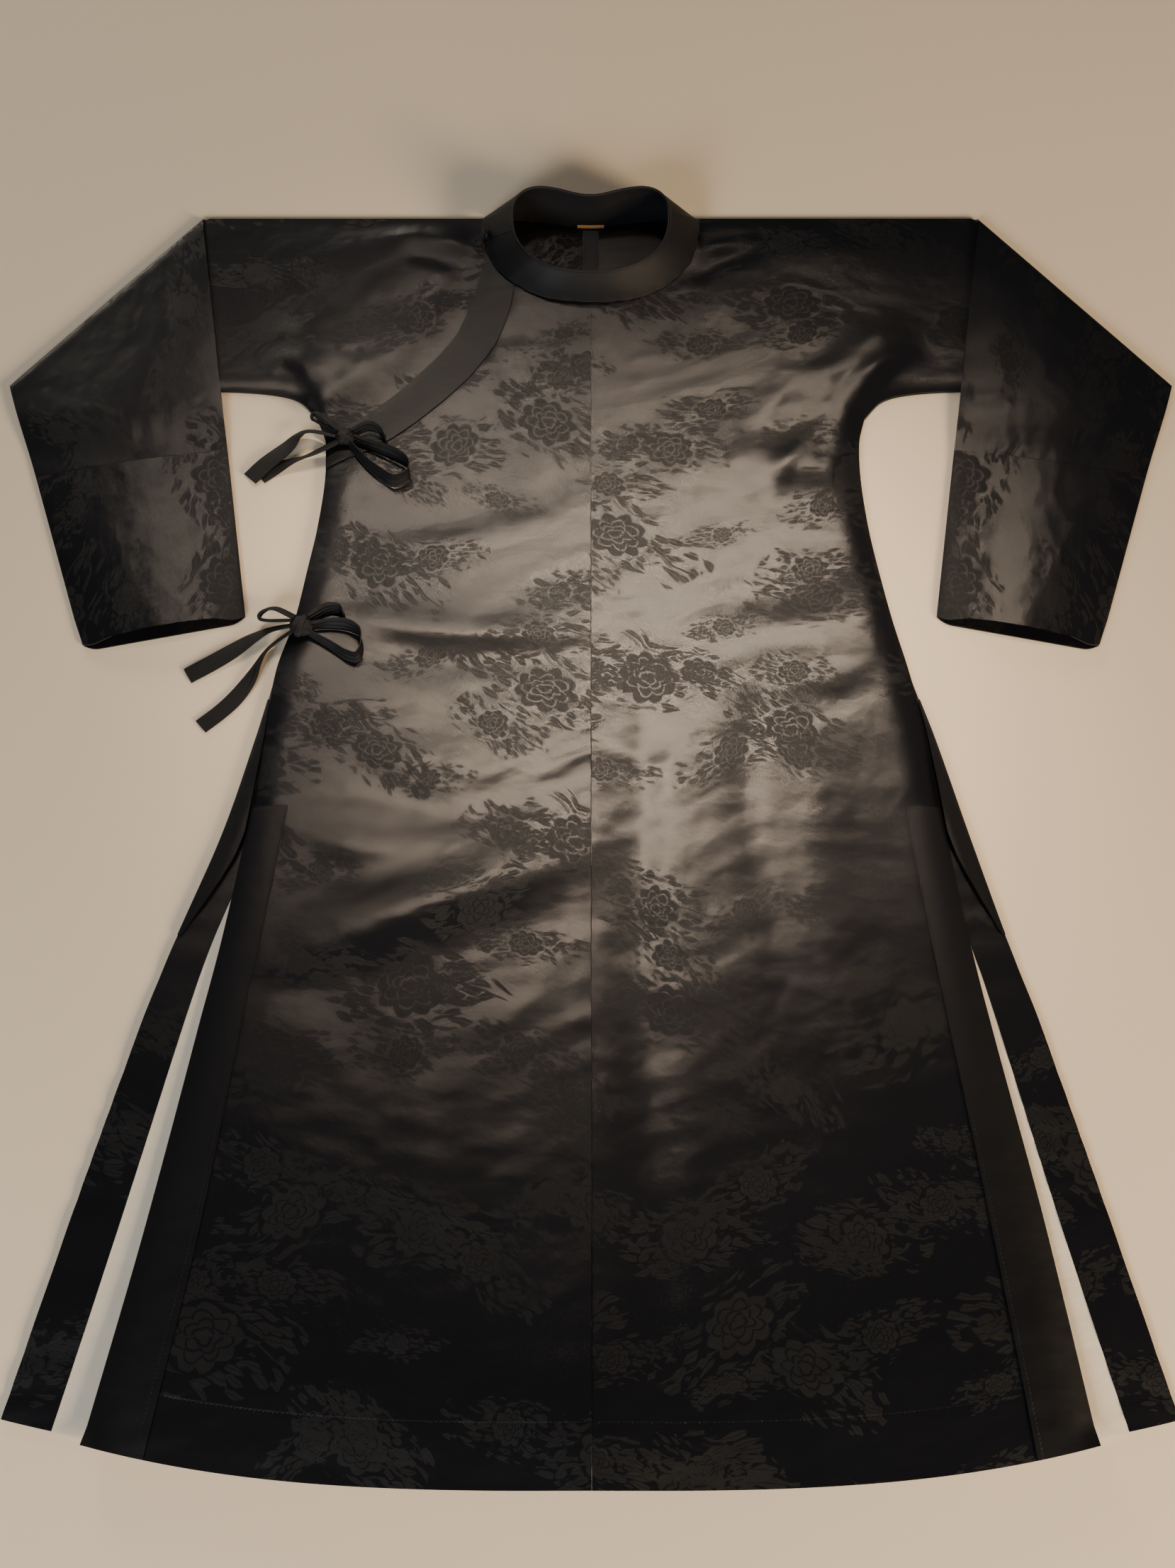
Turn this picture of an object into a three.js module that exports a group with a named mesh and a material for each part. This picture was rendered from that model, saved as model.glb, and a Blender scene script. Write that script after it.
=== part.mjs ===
import * as THREE from "three";

// A round-collar robe lying face up, in millimetres. x runs to the wearer's left, y from the back
// hem to the neck, z up from the surface under it. Each side is cut in one with its upper sleeve,
// and the sleeves are folded over the front. The outlines are those of the cloth as cut.

// Cloth
const cloth = 1.2;
const trim = 1;
const seam = 0.3;

// Lengths up the body
const shoulderLine = 1080;
const armpit = 855;
const slitBar = 476;
const slitTop = 455;
const liningTop = 440;
const turnEnd = 362;
const turnStart = 600;
const hemReach = 300;
const overlapTop = 800;
const innerHem = 476;

// Levels of the layers
const firstLayer = cloth + seam;
const overLining = firstLayer + trim + 0.6;
const overInner = firstLayer + cloth + 1.2;
const bodyLoft = 6;
const hemLoft = 6;

// Half widths at each level, for the wearer's left and right: side is the outline, front the edge
// of the front, and the last two are how wide the front's and the back's slit facings are.
const body = [
  { y: 0, sideL: 422, sideR: 424, frontL: 360, frontR: 362, frontFacing: 46, backFacing: 37 },
  { y: 150, sideL: 387, sideR: 389, frontL: 338, frontR: 332, frontFacing: 41, backFacing: 37 },
  { y: 300, sideL: 349, sideR: 350, frontL: 310, frontR: 304, frontFacing: 34, backFacing: 33 },
  { y: 362, sideL: 331, sideR: 331, frontL: 300, frontR: 293, frontFacing: 32, backFacing: 30 },
  { y: 455, sideL: 307, sideR: 300, frontL: 288, frontR: 280, frontFacing: 31, backFacing: 30 },
  { y: 540, sideL: 286, sideR: 279, frontL: 279, frontR: 271, frontFacing: 30, backFacing: 30 },
  { y: 600, sideL: 269, sideR: 266, frontL: 269, frontR: 266, frontFacing: 30, backFacing: 30 },
  { y: 650, sideL: 258, sideR: 253, frontL: 258, frontR: 253, frontFacing: 30, backFacing: 30 },
  { y: 700, sideL: 249, sideR: 245, frontL: 249, frontR: 245, frontFacing: 30, backFacing: 30 },
  { y: 740, sideL: 243, sideR: 239, frontL: 243, frontR: 239, frontFacing: 30, backFacing: 30 },
  { y: 790, sideL: 239, sideR: 235, frontL: 239, frontR: 235, frontFacing: 30, backFacing: 30 },
  { y: 830, sideL: 240, sideR: 237, frontL: 240, frontR: 237, frontFacing: 30, backFacing: 30 },
  { y: 855, sideL: 246, sideR: 246, frontL: 246, frontR: 246, frontFacing: 30, backFacing: 30 },
];

// The underarm edge of the sleeve, from the armpit to the cuff
const underarm = [
  { x: 246, y: 855 },
  { x: 262, y: 873 },
  { x: 285, y: 881 },
  { x: 330, y: 885 },
  { x: 430, y: 887 },
  { x: 521, y: 891 },
  { x: 629, y: 910 },
  { x: 809, y: 941 },
];

// Sleeve: where it folds, where the outer sleeve is sewn on, and the cuff
const foldHigh = { x: 361, y: shoulderLine };
const foldLow = { x: 521, y: 891 };
const foldAxis = 2 * cloth + seam + 0.4;
const sleeveSeam = 629;
const cuffHigh = 804;
const cuffLow = 809;
const cuffSetBack = 9;
const stackUnder = 3.5;
const dropFrom = { y: 812, over: 50 };
const sleeveLoft = [
  { x: 400, high: 3 },
  { x: 629, high: 7 },
  { x: 804, high: 12 },
];

// Neck: half width, front depth and the level of its widest points
const neck = {
  half: 100, front: 94, y: 1072, power: 2 / 2.3, backPower: 0.5, backRise: 8, backDip: 9, dipWide: 45,
};
const rim = {
  half: 72, front: 62, back: 36, y: 1050, power: 2 / 2.3, backPower: 0.6, dip: 9, dipWide: 30,
};
const rimHeight = [
  { turn: -90, z: 41 },
  { turn: 0, z: 41 },
  { turn: 50, z: 44 },
  { turn: 90, z: 38 },
];
const collarWall = 2.4;
const collarLap = 0.2;
const knotTurn = -168;

// The edge of the overlap, from the collar to the side. Its facing runs in from it to the neck,
// given by its turn round the neck, or is as wide as given.
const overlapEdge = [
  { x: 98.1, y: 1047.9, neck: -12 },
  { x: 100.5, y: 1030, neck: -25 },
  { x: 102, y: 1012, neck: -37 },
  { x: 105.5, y: 997, neck: -48 },
  { x: 110, y: 980, wide: 37 },
  { x: 122, y: 945, wide: 38 },
  { x: 138, y: 920, wide: 38 },
  { x: 156, y: 899, wide: 38 },
  { x: 184, y: 870, wide: 37 },
  { x: 211, y: 848, wide: 35 },
  { x: 236.5, y: 832, wide: 32 },
];

// The largest folds: soft ridges, or troughs where high is below nought, along each path
const folds = [
  { high: 13, wide: 20, path: [[324, 902], [300, 912], [277, 918], [256, 906], [247, 880]] },
  { high: 13, wide: 20, path: [[-324, 902], [-300, 912], [-277, 920], [-256, 912], [-246, 884]] },
  { high: 8, wide: 20, path: [[108, 1040], [130, 1052], [168, 1064]] },
  { high: -2, wide: 16, path: [[96, 1008], [125, 1026], [163, 1044]] },
  { high: 7, wide: 18, path: [[-178, 1060], [-150, 1062], [-118, 1045]] },
  { high: -2, wide: 16, path: [[-170, 1040], [-140, 1030], [-106, 1012]] },
  { high: 8, wide: 18, path: [[-178, 634], [-135, 635], [-75, 628]] },
  { high: -2, wide: 18, path: [[-178, 603], [-110, 606], [-40, 626]] },
  { high: 10, wide: 34, path: [[-235, 352], [-125, 392], [-22, 425]] },
  { high: -2, wide: 26, path: [[-215, 312], [-100, 345], [-4, 380]] },
  { high: -1.5, wide: 28, path: [[44, 540], [40, 260], [46, 0]] },
  { high: 9, wide: 60, path: [[0, -60], [0, 40]] },
  { high: 5, wide: 26, path: [[216, 792], [170, 800], [120, 815]] },
];

// Where the front is held down: how far in from each edge it comes free of what holds it
const held = {
  edge: 45, neck: 30, pastNeck: 12, sleeveSlope: 0.17, pastSleeve: 15, skirt: 60, overlap: 60, inner: 30,
};
const heldClose = 0.3;

// The hem lifts below a level, and half as much at its sides.
const hemRise = { y: 140, over: 160, atSide: 0.5 };
const sleeveRound = { power: 0.8, over: 90 };

const finishes = {
  damask: { color: 0x2b2927, roughness: 0.45 },
  facing: { color: 0x26262a, roughness: 0.4 },
  collar: { color: 0x1d1d20, roughness: 0.45 },
  ribbon: { color: 0x161618, roughness: 0.5 },
  lining: { color: 0xd8cfbd, roughness: 0.8 },
  tape: { color: 0x3a3b41, roughness: 0.7 },
  tab: { color: 0xa9763a, roughness: 0.6 },
};

const robe = new THREE.Group();

const smooth = (t) => {
  const c = Math.min(1, Math.max(0, t));
  return c * c * (3 - 2 * c);
};
const blend = (a, b, t) => a + (b - a) * t;
const radians = (degrees) => (degrees * Math.PI) / 180;
const power = (value, exponent) => Math.sign(value) * Math.abs(value) ** exponent;

// Reads a column of a table at a place between its rows, on a smooth curve through them.
function read(rows, key, at, column) {
  const last = rows.length - 1;
  const i = Math.max(0, Math.min(last - 1, rows.findIndex((row) => row[key] > at) - 1));
  const k = at >= rows[last][key] ? last - 1 : i;
  const slope = (n) => {
    const a = rows[Math.max(0, n - 1)];
    const b = rows[Math.min(last, n + 1)];
    return (b[column] - a[column]) / (b[key] - a[key]);
  };
  const span = rows[k + 1][key] - rows[k][key];
  const t = (at - rows[k][key]) / span;
  const ends = rows[k][column] * (1 + 2 * t) * (1 - t) ** 2 + rows[k + 1][column] * t * t * (3 - 2 * t);
  return ends + span * (slope(k) * t * (1 - t) ** 2 - slope(k + 1) * t * t * (1 - t));
}

// The distance from a point to a path of points, with the side of the path that it lies on.
function distance(path, x, y) {
  let best = { far: Infinity, side: 1 };
  for (let i = 0; i + 1 < path.length; i++) {
    const [ax, ay] = path[i];
    const [bx, by] = path[i + 1];
    const along = ((x - ax) * (bx - ax) + (y - ay) * (by - ay)) / ((bx - ax) ** 2 + (by - ay) ** 2);
    const t = Math.min(1, Math.max(0, along));
    const far = Math.hypot(x - blend(ax, bx, t), y - blend(ay, by, t));
    const side = Math.sign((bx - ax) * (y - ay) - (by - ay) * (x - ax));
    if (far < best.far) best = { far, side };
  }
  return best;
}

// ---- Outlines

const sideAt = (y, side) => read(body, "y", y, side > 0 ? "sideL" : "sideR");
const frontAt = (y, side) => read(body, "y", y, side > 0 ? "frontL" : "frontR");
const underarmAt = (x) => read(underarm, "x", x, "y");
const hemCurve = (drop, rise, half) => (x) => -drop + rise * (Math.abs(x) / half) ** 3;
const frontHem = hemCurve(45, 31, 364);
const backHem = hemCurve(30, 34, 426);

// The neck edge round the body, with 0 at the wearer's left, -90 at the front and 90 at the back
function neckPoint(turn) {
  const c = Math.cos(radians(turn));
  const s = Math.sin(radians(turn));
  if (s < 0) return [neck.half * power(c, neck.power), neck.y + neck.front * power(s, neck.power)];
  const x = neck.half * power(c, neck.backPower);
  const dip = neck.backDip * Math.exp(-((x / neck.dipWide) ** 2));
  return [x, neck.y + neck.backRise * power(s, neck.backPower) - dip];
}

// The same round the collar's upper edge
function rimPoint(turn) {
  const c = Math.cos(radians(turn));
  const s = Math.sin(radians(turn));
  if (s < 0) return [rim.half * power(c, rim.power), rim.y + rim.front * power(s, rim.power)];
  const x = rim.half * power(c, rim.backPower);
  return [x, rim.y + rim.back * power(s, rim.backPower) - rim.dip * Math.exp(-((x / rim.dipWide) ** 2))];
}

const sleeveEdge = underarm.slice(1).map((row) => [row.x, row.y]);
const outlineL = [...body.map((row) => [row.frontL, row.y]), ...sleeveEdge];
const outlineR = [...body.map((row) => [row.frontR, row.y]), ...sleeveEdge];
const overlapPath = overlapEdge.map((row) => [-row.x, row.y]);

// ---- Heights

// From 0 where the front is held down, at its edges and under the folded sleeve, to 1 inside them
function loose(x, y) {
  const half = Math.abs(x);
  const edge = smooth(distance(x > 0 ? outlineL : outlineR, half, y).far / held.edge);
  const belowNeck = (neck.y + held.pastNeck - y) / held.neck;
  const shoulder = smooth(half < neck.half ? belowNeck : (shoulderLine - y) / held.edge);
  const sleeveInner = foldHigh.x - held.sleeveSlope * (shoulderLine - y) - held.pastSleeve;
  return edge * shoulder * (y > armpit ? smooth((sleeveInner - half) / held.edge) : 1);
}

// How far the front stands up from the layer under it
function puff(x, y) {
  const inside = loose(x, y);
  const hem = hemLoft * smooth((hemRise.y - y) / hemRise.over) * blend(hemRise.atSide, 1, inside);
  const crease = folds.reduce((sum, fold) => {
    return sum + fold.high * Math.exp(-((distance(fold.path, x, y).far / fold.wide) ** 2));
  }, 0);
  return Math.max(0, (bodyLoft + crease) * inside + hem);
}

// Both layers lie close together along the edge of the overlap.
const pinch = (far) => blend(heldClose, 1, smooth(far / held.edge));

// The height of the lower side of each layer: the left front, the overlap and the inner front
function leftUnder(x, y) {
  const overSkirt = 1 - smooth((y - slitTop) / held.skirt);
  return blend(firstLayer, overLining, Math.max(overSkirt, loose(x, y))) + puff(x, y);
}

function overlapUnder(x, y) {
  const near = y > overlapTop - held.overlap ? pinch(distance(overlapPath, x, y).far) : 1;
  return overInner + puff(x, y) * near;
}

function innerUnder(x, y) {
  const { far, side } = distance(overlapPath, x, y);
  const hidden = side > 0 || y < overlapTop;
  return firstLayer + puff(x, y) * pinch(far) * (hidden ? smooth(1 - far / held.inner) : 1);
}

const backUnder = () => 0;

// How far the upper side of the sleeve is puffed up from the lower one
function sleevePuff(x, y, pastFold) {
  const across = Math.min(1, Math.max(0, (shoulderLine - y) / (shoulderLine - underarmAt(x))));
  const round = Math.sin(Math.PI * across) ** sleeveRound.power;
  return read(sleeveLoft, "x", x, "high") * round * smooth(pastFold / sleeveRound.over);
}

// ---- Folding the sleeve

const foldLength = Math.hypot(foldLow.x - foldHigh.x, foldLow.y - foldHigh.y);
const foldNormal = {
  x: (foldHigh.y - foldLow.y) / foldLength,
  y: (foldLow.x - foldHigh.x) / foldLength,
};
const foldTurn = Math.PI * foldAxis;

// Takes a point of the sleeve as cut to its place once the sleeve is folded over. The cloth turns
// round an axis just above the front, and the folded part comes down past the sleeve under it.
function folded(x, y, z, upper) {
  const half = Math.abs(x);
  const past = (half - foldHigh.x) * foldNormal.x + (y - foldHigh.y) * foldNormal.y;
  if (past <= 0) return [x, y, z];
  const angle = Math.min(Math.PI, past / foldAxis);
  const radius = foldAxis - z;
  const beyond = Math.max(0, past - foldTurn);
  const shift = radius * Math.sin(angle) - beyond - past;
  const placeY = y + foldNormal.y * shift;
  const rise = foldAxis - radius * Math.cos(angle);
  const drop = beyond > 0 ? stackUnder * (1 - smooth((placeY - dropFrom.y) / dropFrom.over)) : 0;
  const lift = upper ? sleevePuff(half, y, beyond) : 0;
  return [Math.sign(x) * (half + foldNormal.x * shift), placeY, rise - drop + lift];
}

// ---- Making solids

const smallestFace = 0.01;

// A closed body from its points and faces, turned to face outwards.
function addSolid(name, finish, points, faces) {
  let volume = 0;
  for (const [a, b, c] of faces) {
    const [p, q, r] = [points[a], points[b], points[c]];
    volume += p[0] * (q[1] * r[2] - q[2] * r[1]) + p[1] * (q[2] * r[0] - q[0] * r[2]);
    volume += p[2] * (q[0] * r[1] - q[1] * r[0]);
  }
  const turned = volume < 0 ? faces.map(([a, b, c]) => [a, c, b]) : faces;
  const geometry = new THREE.BufferGeometry();
  geometry.setAttribute("position", new THREE.Float32BufferAttribute(points.flat(), 3));
  geometry.setIndex(turned.flat());
  geometry.computeVertexNormals();
  const material = new THREE.MeshStandardMaterial({ ...finishes[finish], metalness: 0 });
  const mesh = new THREE.Mesh(geometry, material);
  mesh.name = name;
  robe.add(mesh);
}

// A wall of cloth over patches, each a grid of [x, y] points, with patches joined where they share
// points. under gives the height of its lower side, and place may fold it.
function addWall(name, finish, patches, under, thick, place = (x, y, z) => [x, y, z]) {
  const numbers = new Map();
  const flat = [];
  const faces = [];
  const number = ([x, y]) => {
    const key = `${x.toFixed(2)} ${y.toFixed(2)}`;
    if (!numbers.has(key)) numbers.set(key, flat.push([x, y]) - 1);
    return numbers.get(key);
  };
  const addFace = (a, b, c) => {
    const [p, q, r] = [flat[a], flat[b], flat[c]];
    const area = (q[0] - p[0]) * (r[1] - p[1]) - (q[1] - p[1]) * (r[0] - p[0]);
    if (Math.abs(area) > smallestFace) faces.push(area > 0 ? [a, b, c] : [a, c, b]);
  };
  for (const patch of patches) {
    for (let i = 0; i + 1 < patch.length; i++) {
      for (let j = 0; j + 1 < patch[i].length; j++) {
        const [a, b] = [number(patch[i][j]), number(patch[i][j + 1])];
        const [c, d] = [number(patch[i + 1][j + 1]), number(patch[i + 1][j])];
        addFace(a, b, c);
        addFace(a, c, d);
      }
    }
  }
  const count = flat.length;
  const low = flat.map(([x, y]) => place(x, y, under(x, y)));
  const high = flat.map(([x, y]) => place(x, y, under(x, y) + thick));
  const edges = new Set(faces.flatMap(([a, b, c]) => [`${a} ${b}`, `${b} ${c}`, `${c} ${a}`]));
  const sides = [...edges].map((edge) => edge.split(" ").map(Number)).filter(([a, b]) => {
    return !edges.has(`${b} ${a}`);
  });
  addSolid(name, finish, [...low, ...high], [
    ...faces.map(([a, b, c]) => [a, c, b]),
    ...faces.map((face) => face.map((n) => n + count)),
    ...sides.flatMap(([a, b]) => [[a, b, b + count], [a, b + count, a + count]]),
  ]);
}

// A tube wall between matching outer and inner loops, open at both ends.
function addRings(name, finish, outer, inner, place = (point) => point) {
  const size = outer[0].length;
  const points = [...outer.flat(), ...inner.flat()].map(place);
  const at = (layer, ring, k) => (layer * outer.length + ring) * size + (k % size);
  const faces = [];
  const quad = (a, b, c, d) => faces.push([a, b, c], [a, c, d]);
  for (let ring = 0; ring + 1 < outer.length; ring++) {
    for (let k = 0; k < size; k++) {
      quad(at(0, ring, k), at(0, ring, k + 1), at(0, ring + 1, k + 1), at(0, ring + 1, k));
      quad(at(1, ring, k + 1), at(1, ring, k), at(1, ring + 1, k), at(1, ring + 1, k + 1));
    }
  }
  const end = outer.length - 1;
  for (let k = 0; k < size; k++) {
    quad(at(0, 0, k + 1), at(0, 0, k), at(1, 0, k), at(1, 0, k + 1));
    quad(at(0, end, k), at(0, end, k + 1), at(1, end, k + 1), at(1, end, k));
  }
  addSolid(name, finish, points, faces);
}

// A bar through sections that each have the same number of corners, with flat ends. Its two sides
// are split along the same diagonal, so that a thin bar's faces stay apart where it twists.
function addBar(name, finish, sections) {
  const size = sections[0].length;
  const faces = [];
  for (let i = 0; i + 1 < sections.length; i++) {
    for (let k = 0; k < size; k++) {
      const [a, b] = [i * size + k, i * size + ((k + 1) % size)];
      if (k < size / 2) faces.push([a, b, b + size], [a, b + size, a + size]);
      else faces.push([a, b, a + size], [b, b + size, a + size]);
    }
  }
  const end = (sections.length - 1) * size;
  for (let k = 1; k + 1 < size; k++) faces.push([0, k + 1, k], [end, end + k, end + k + 1]);
  addSolid(name, finish, sections.flat(), faces);
}

// ---- Grids of the pieces as cut

const spread = (from, to, parts) => parts.map((part) => blend(from, to, part));

// One level of the body from the centre seam to its edge, bent to the curve of the hem
function level(y, sideways, hem) {
  return sideways.map((x) => [x, y + hem(x) * Math.max(0, 1 - y / hemReach)]);
}

const stretch = (from, to, parts) => {
  return from.map((start, j) => parts.map((part) => [
    blend(start[0], to[j][0], part),
    blend(start[1], to[j][1], part),
  ]));
};

const mirror = (patch, side) => patch.map((row) => row.map(([x, y]) => [side * x, y]));

// Stations along the upper sleeve, each from the underarm edge to the shoulder line: out to the
// fold, round it, and on to the seam of the outer sleeve.
const upperSleeve = [
  { low: 262, high: 254 },
  { low: 285, high: 275 },
  { low: 330, high: 298 },
  { low: 400, high: 321 },
  { low: 465, high: 342 },
  { low: foldLow.x, high: foldHigh.x },
];
const turnSteps = [0.25, 0.5, 0.75, 1];
const afterFold = [0.3, 0.65, 0.78, 1];
const pastFoldLow = 40;
const slopeAfterFold = (underarmAt(foldLow.x + pastFoldLow) - foldLow.y) / pastFoldLow;

function sleeveStations() {
  const turned = (step) => ({
    low: foldLow.x + (step * foldTurn) / (foldNormal.x + foldNormal.y * slopeAfterFold),
    high: foldHigh.x + (step * foldTurn) / foldNormal.x,
  });
  const last = turned(1);
  const edge = sleeveSeam - seam / 2;
  const after = afterFold.map((part) => ({
    low: blend(last.low, edge, part),
    high: blend(last.high, edge, part),
  }));
  return [...upperSleeve, ...turnSteps.map(turned), ...after];
}

// The yoke and upper sleeve: stations from bottoms, on the armpit level, to tops, then the sleeve
function yokePatch(bottoms, tops, parts, side) {
  const stations = sleeveStations();
  const from = [...bottoms, ...stations.map(({ low }) => [low, underarmAt(low)])];
  const to = [...tops, ...stations.map(({ high }) => [high, shoulderLine])];
  return mirror(stretch(from, to, parts), side);
}

// How far the rows of the yoke are from the armpit to the shoulder
const yokeRows = [0, 0.1, 0.2, 0.34, 0.5, 0.7, 0.88, 1];
const frontLevels = [
  0, 40, 85, 130, 180, 230, 280, 325, turnEnd, 410, slitTop, slitBar,
  510, 545, 580, 610, 640, 680, 730, 765, 800,
];
const alongShoulder = (places) => places.map((x) => [x, shoulderLine]);
const frontShoulder = alongShoulder([98, 165, 232]);
const backShoulder = alongShoulder([98, 140, 185, 232]);

// ---- Back

const skirtLevels = [0, 75, 150, 225, 300, turnEnd, liningTop];
const backLevels = [...skirtLevels, 540, turnStart, 700, 790, armpit];
const backParts = [0, 0.2, 0.4, 0.6, 0.8, 1];
const backBand = (y, side) => sideAt(y, side) - read(body, "y", y, "backFacing");

function addBack(name, side) {
  const row = (y) => [...spread(seam / 2, backBand(y, side), backParts), sideAt(y, side)];
  const patch = backLevels.map((y) => level(y, row(y), backHem));
  const bottoms = patch[patch.length - 1];
  const neckline = [90, 78, 48].map(neckPoint);
  neckline[0] = [seam / 2, neckline[0][1]];
  const yoke = yokePatch(bottoms, [...neckline, ...backShoulder], yokeRows, side);
  addWall(name, "damask", [mirror(patch, side), yoke], backUnder, cloth, (x, y, z) => folded(x, y, z, true));
}

// The lining shows between the slit facings, on the inside of the back's skirt.
function addLining() {
  const patch = skirtLevels.map((y) => {
    const [right, left] = [seam - backBand(y, -1), backBand(y, 1) - seam];
    return level(y, [right, right / 2, 0, left / 2, left], backHem);
  });
  addWall("skirt_lining", "lining", [patch], () => firstLayer, trim);
}

function addBackFacing(name, side) {
  const patch = skirtLevels.map((y) => level(y, [backBand(y, side), sideAt(y, side) - seam], backHem));
  addWall(name, "damask", [mirror(patch, side)], () => firstLayer, trim);
}

const sideTurn = { pastEnd: 6, beforeStart: 25, lift: 5, over: 16 };

// At the slit the side of the back turns up over the front, and its free edge runs out to the side.
function addSideTurn(name, side) {
  const rows = [
    { y: turnEnd + sideTurn.pastEnd, inner: 0.9 },
    { y: 385, inner: 0.75 },
    { y: 410, inner: 0.45 },
    { y: 435, inner: 0.15 },
    { y: slitTop, inner: 0 },
    { y: slitBar, inner: 0 },
    { y: 510, inner: 0 },
    { y: 545, inner: 0 },
    { y: turnStart - sideTurn.beforeStart, inner: 0 },
  ];
  const patch = rows.map(({ y, inner }) => {
    const outer = sideAt(y, side) - seam;
    const from = blend(frontAt(y, side) + 2 * seam, outer, inner);
    return [0, 0.5, 1].map((part) => [blend(from, outer, part), y]);
  });
  const under = (x, y) => {
    return overLining + sideTurn.lift * smooth((sideAt(y, side) - Math.abs(x)) / sideTurn.over);
  };
  addWall(name, "facing", [mirror(patch, side)], under, cloth);
}

// ---- Fronts

const frontBand = (y, side) => frontAt(y, side) - read(body, "y", y, "frontFacing");

function frontBody(levels, parts, side) {
  return levels.map((y) => {
    return level(y, [...spread(seam / 2, frontBand(y, side), parts), frontAt(y, side)], frontHem);
  });
}

const frontTurns = [-90, -75, -60, -45, -32, -20, -9];
const frontParts = [0, 0.13, 0.26, 0.39, 0.52, 0.65, 0.78, 0.9, 1];

function frontNeck(turns) {
  const points = turns.map(neckPoint);
  points[0] = [Math.max(points[0][0], seam / 2), points[0][1]];
  return points;
}

function addLeftFront() {
  const patch = frontBody([...frontLevels, 830, armpit], frontParts, 1);
  const tops = [...frontNeck(frontTurns), ...frontShoulder];
  const yoke = yokePatch(patch[patch.length - 1], tops, yokeRows, 1);
  addWall("front_left", "damask", [patch, yoke], leftUnder, cloth, (x, y, z) => folded(x, y, z, false));
}

// The overlap's facing as pairs of outer and inner edge points, from the collar to the side
function facingPairs() {
  return overlapEdge.map((row, i) => {
    const before = overlapEdge[Math.max(0, i - 1)];
    const after = overlapEdge[Math.min(overlapEdge.length - 1, i + 1)];
    const length = Math.hypot(after.x - before.x, after.y - before.y);
    const across = { x: (after.y - before.y) / length, y: -(after.x - before.x) / length };
    if (i === 0) return { outer: neckPoint(row.neck), inner: neckPoint(row.neck) };
    if (row.neck) return { outer: [row.x, row.y], inner: neckPoint(row.neck) };
    if (after === row) return { outer: [row.x, row.y], inner: [frontAt(overlapTop, -1), overlapTop] };
    return { outer: [row.x, row.y], inner: [row.x + across.x * row.wide, row.y + across.y * row.wide] };
  });
}

const pairs = facingPairs();
const facingPatch = mirror([0, 0.5, 1].map((part) => {
  return pairs.map(({ inner, outer }) => [blend(inner[0], outer[0], part), blend(inner[1], outer[1], part)]);
}), -1);
const overlapParts = [0, 0.19, 0.35, 0.45, 0.55, 0.66, 0.77, 0.88, 1];

function addOverlap() {
  const patch = frontBody(frontLevels, overlapParts, -1);
  const pastNeck = pairs.filter((pair, i) => overlapEdge[i + 1]?.wide || overlapEdge[i].wide);
  const tops = [...frontNeck([-90, -68]), ...pastNeck.map(({ inner }) => inner)];
  const yoke = stretch(patch[patch.length - 1], tops, [0, 0.2, 0.4, 0.6, 0.8, 1]);
  const rest = [mirror(patch, -1), mirror(yoke, -1)];
  addWall("front_overlap", "damask", [...rest, facingPatch], overlapUnder, cloth);
  addWall("overlap_facing", "facing", [facingPatch], (x, y) => overlapUnder(x, y) + cloth + seam, trim);
}

const innerEdge = 60;

// The inner front carries the right shoulder and the upper sleeve, and ends under the overlap.
function addInnerFront() {
  const levels = [innerHem, 540, 610, 680, 740, 800, armpit];
  const parts = [0, 0.22, 0.44, 0.66, 0.84, 1];
  const patch = levels.map((y) => level(y, spread(innerEdge, frontAt(y, -1), parts), frontHem));
  const tops = [...frontNeck([-60, -36, -12]), ...frontShoulder];
  const yoke = yokePatch(patch[patch.length - 1], tops, yokeRows, -1);
  addWall("front_inner", "damask", [mirror(patch, -1), yoke], innerUnder, cloth, (x, y, z) => {
    return folded(x, y, z, false);
  });
}

function addSlitFacing(name, side, under) {
  const levels = frontLevels.filter((y) => y <= slitBar);
  const patch = levels.map((y) => level(y, [frontBand(y, side), frontAt(y, side)], frontHem));
  addWall(name, "facing", [mirror(patch, side)], (x, y) => under(x, y) + cloth + seam, trim);
}

// ---- Outer sleeves

const acrossSleeve = [0, 0.04, 0.14, 0.3, 0.5, 0.7, 0.86, 0.96, 1];

// One ring of the sleeve tube at a part of its length: along the lower side, then back along the
// upper one, taken in by inset for the inner loop
function sleeveRing(part, inset) {
  const high = blend(sleeveSeam + seam / 2, cuffHigh, part);
  const low = blend(sleeveSeam + seam / 2, cuffLow, part);
  const point = (across, upper) => {
    const back = upper && part === 1 ? cuffSetBack * Math.sin(Math.PI * across) : 0;
    const depth = shoulderLine - underarmAt(low);
    const t = blend(inset / depth, 1 - inset / depth, across);
    const z = upper ? inset : 2 * cloth + seam - inset;
    return { x: blend(high, low, t) - back, y: shoulderLine - t * depth, z, upper };
  };
  const lower = acrossSleeve.map((across) => point(across, false));
  return [...lower, ...[...acrossSleeve].reverse().map((across) => point(across, true))];
}

function addSleeve(name, side) {
  const parts = [0, 0.2, 0.4, 0.6, 0.8, 1];
  const rings = (inset) => parts.map((part) => sleeveRing(part, inset));
  addRings(name, "damask", rings(0), rings(cloth), ({ x, y, z, upper }) => folded(side * x, y, z, upper));
}

// ---- Collar

const nearby = 6;
const frontsMeet = 40;
const ontoBack = { from: 0.35, over: 0.4 };

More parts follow.
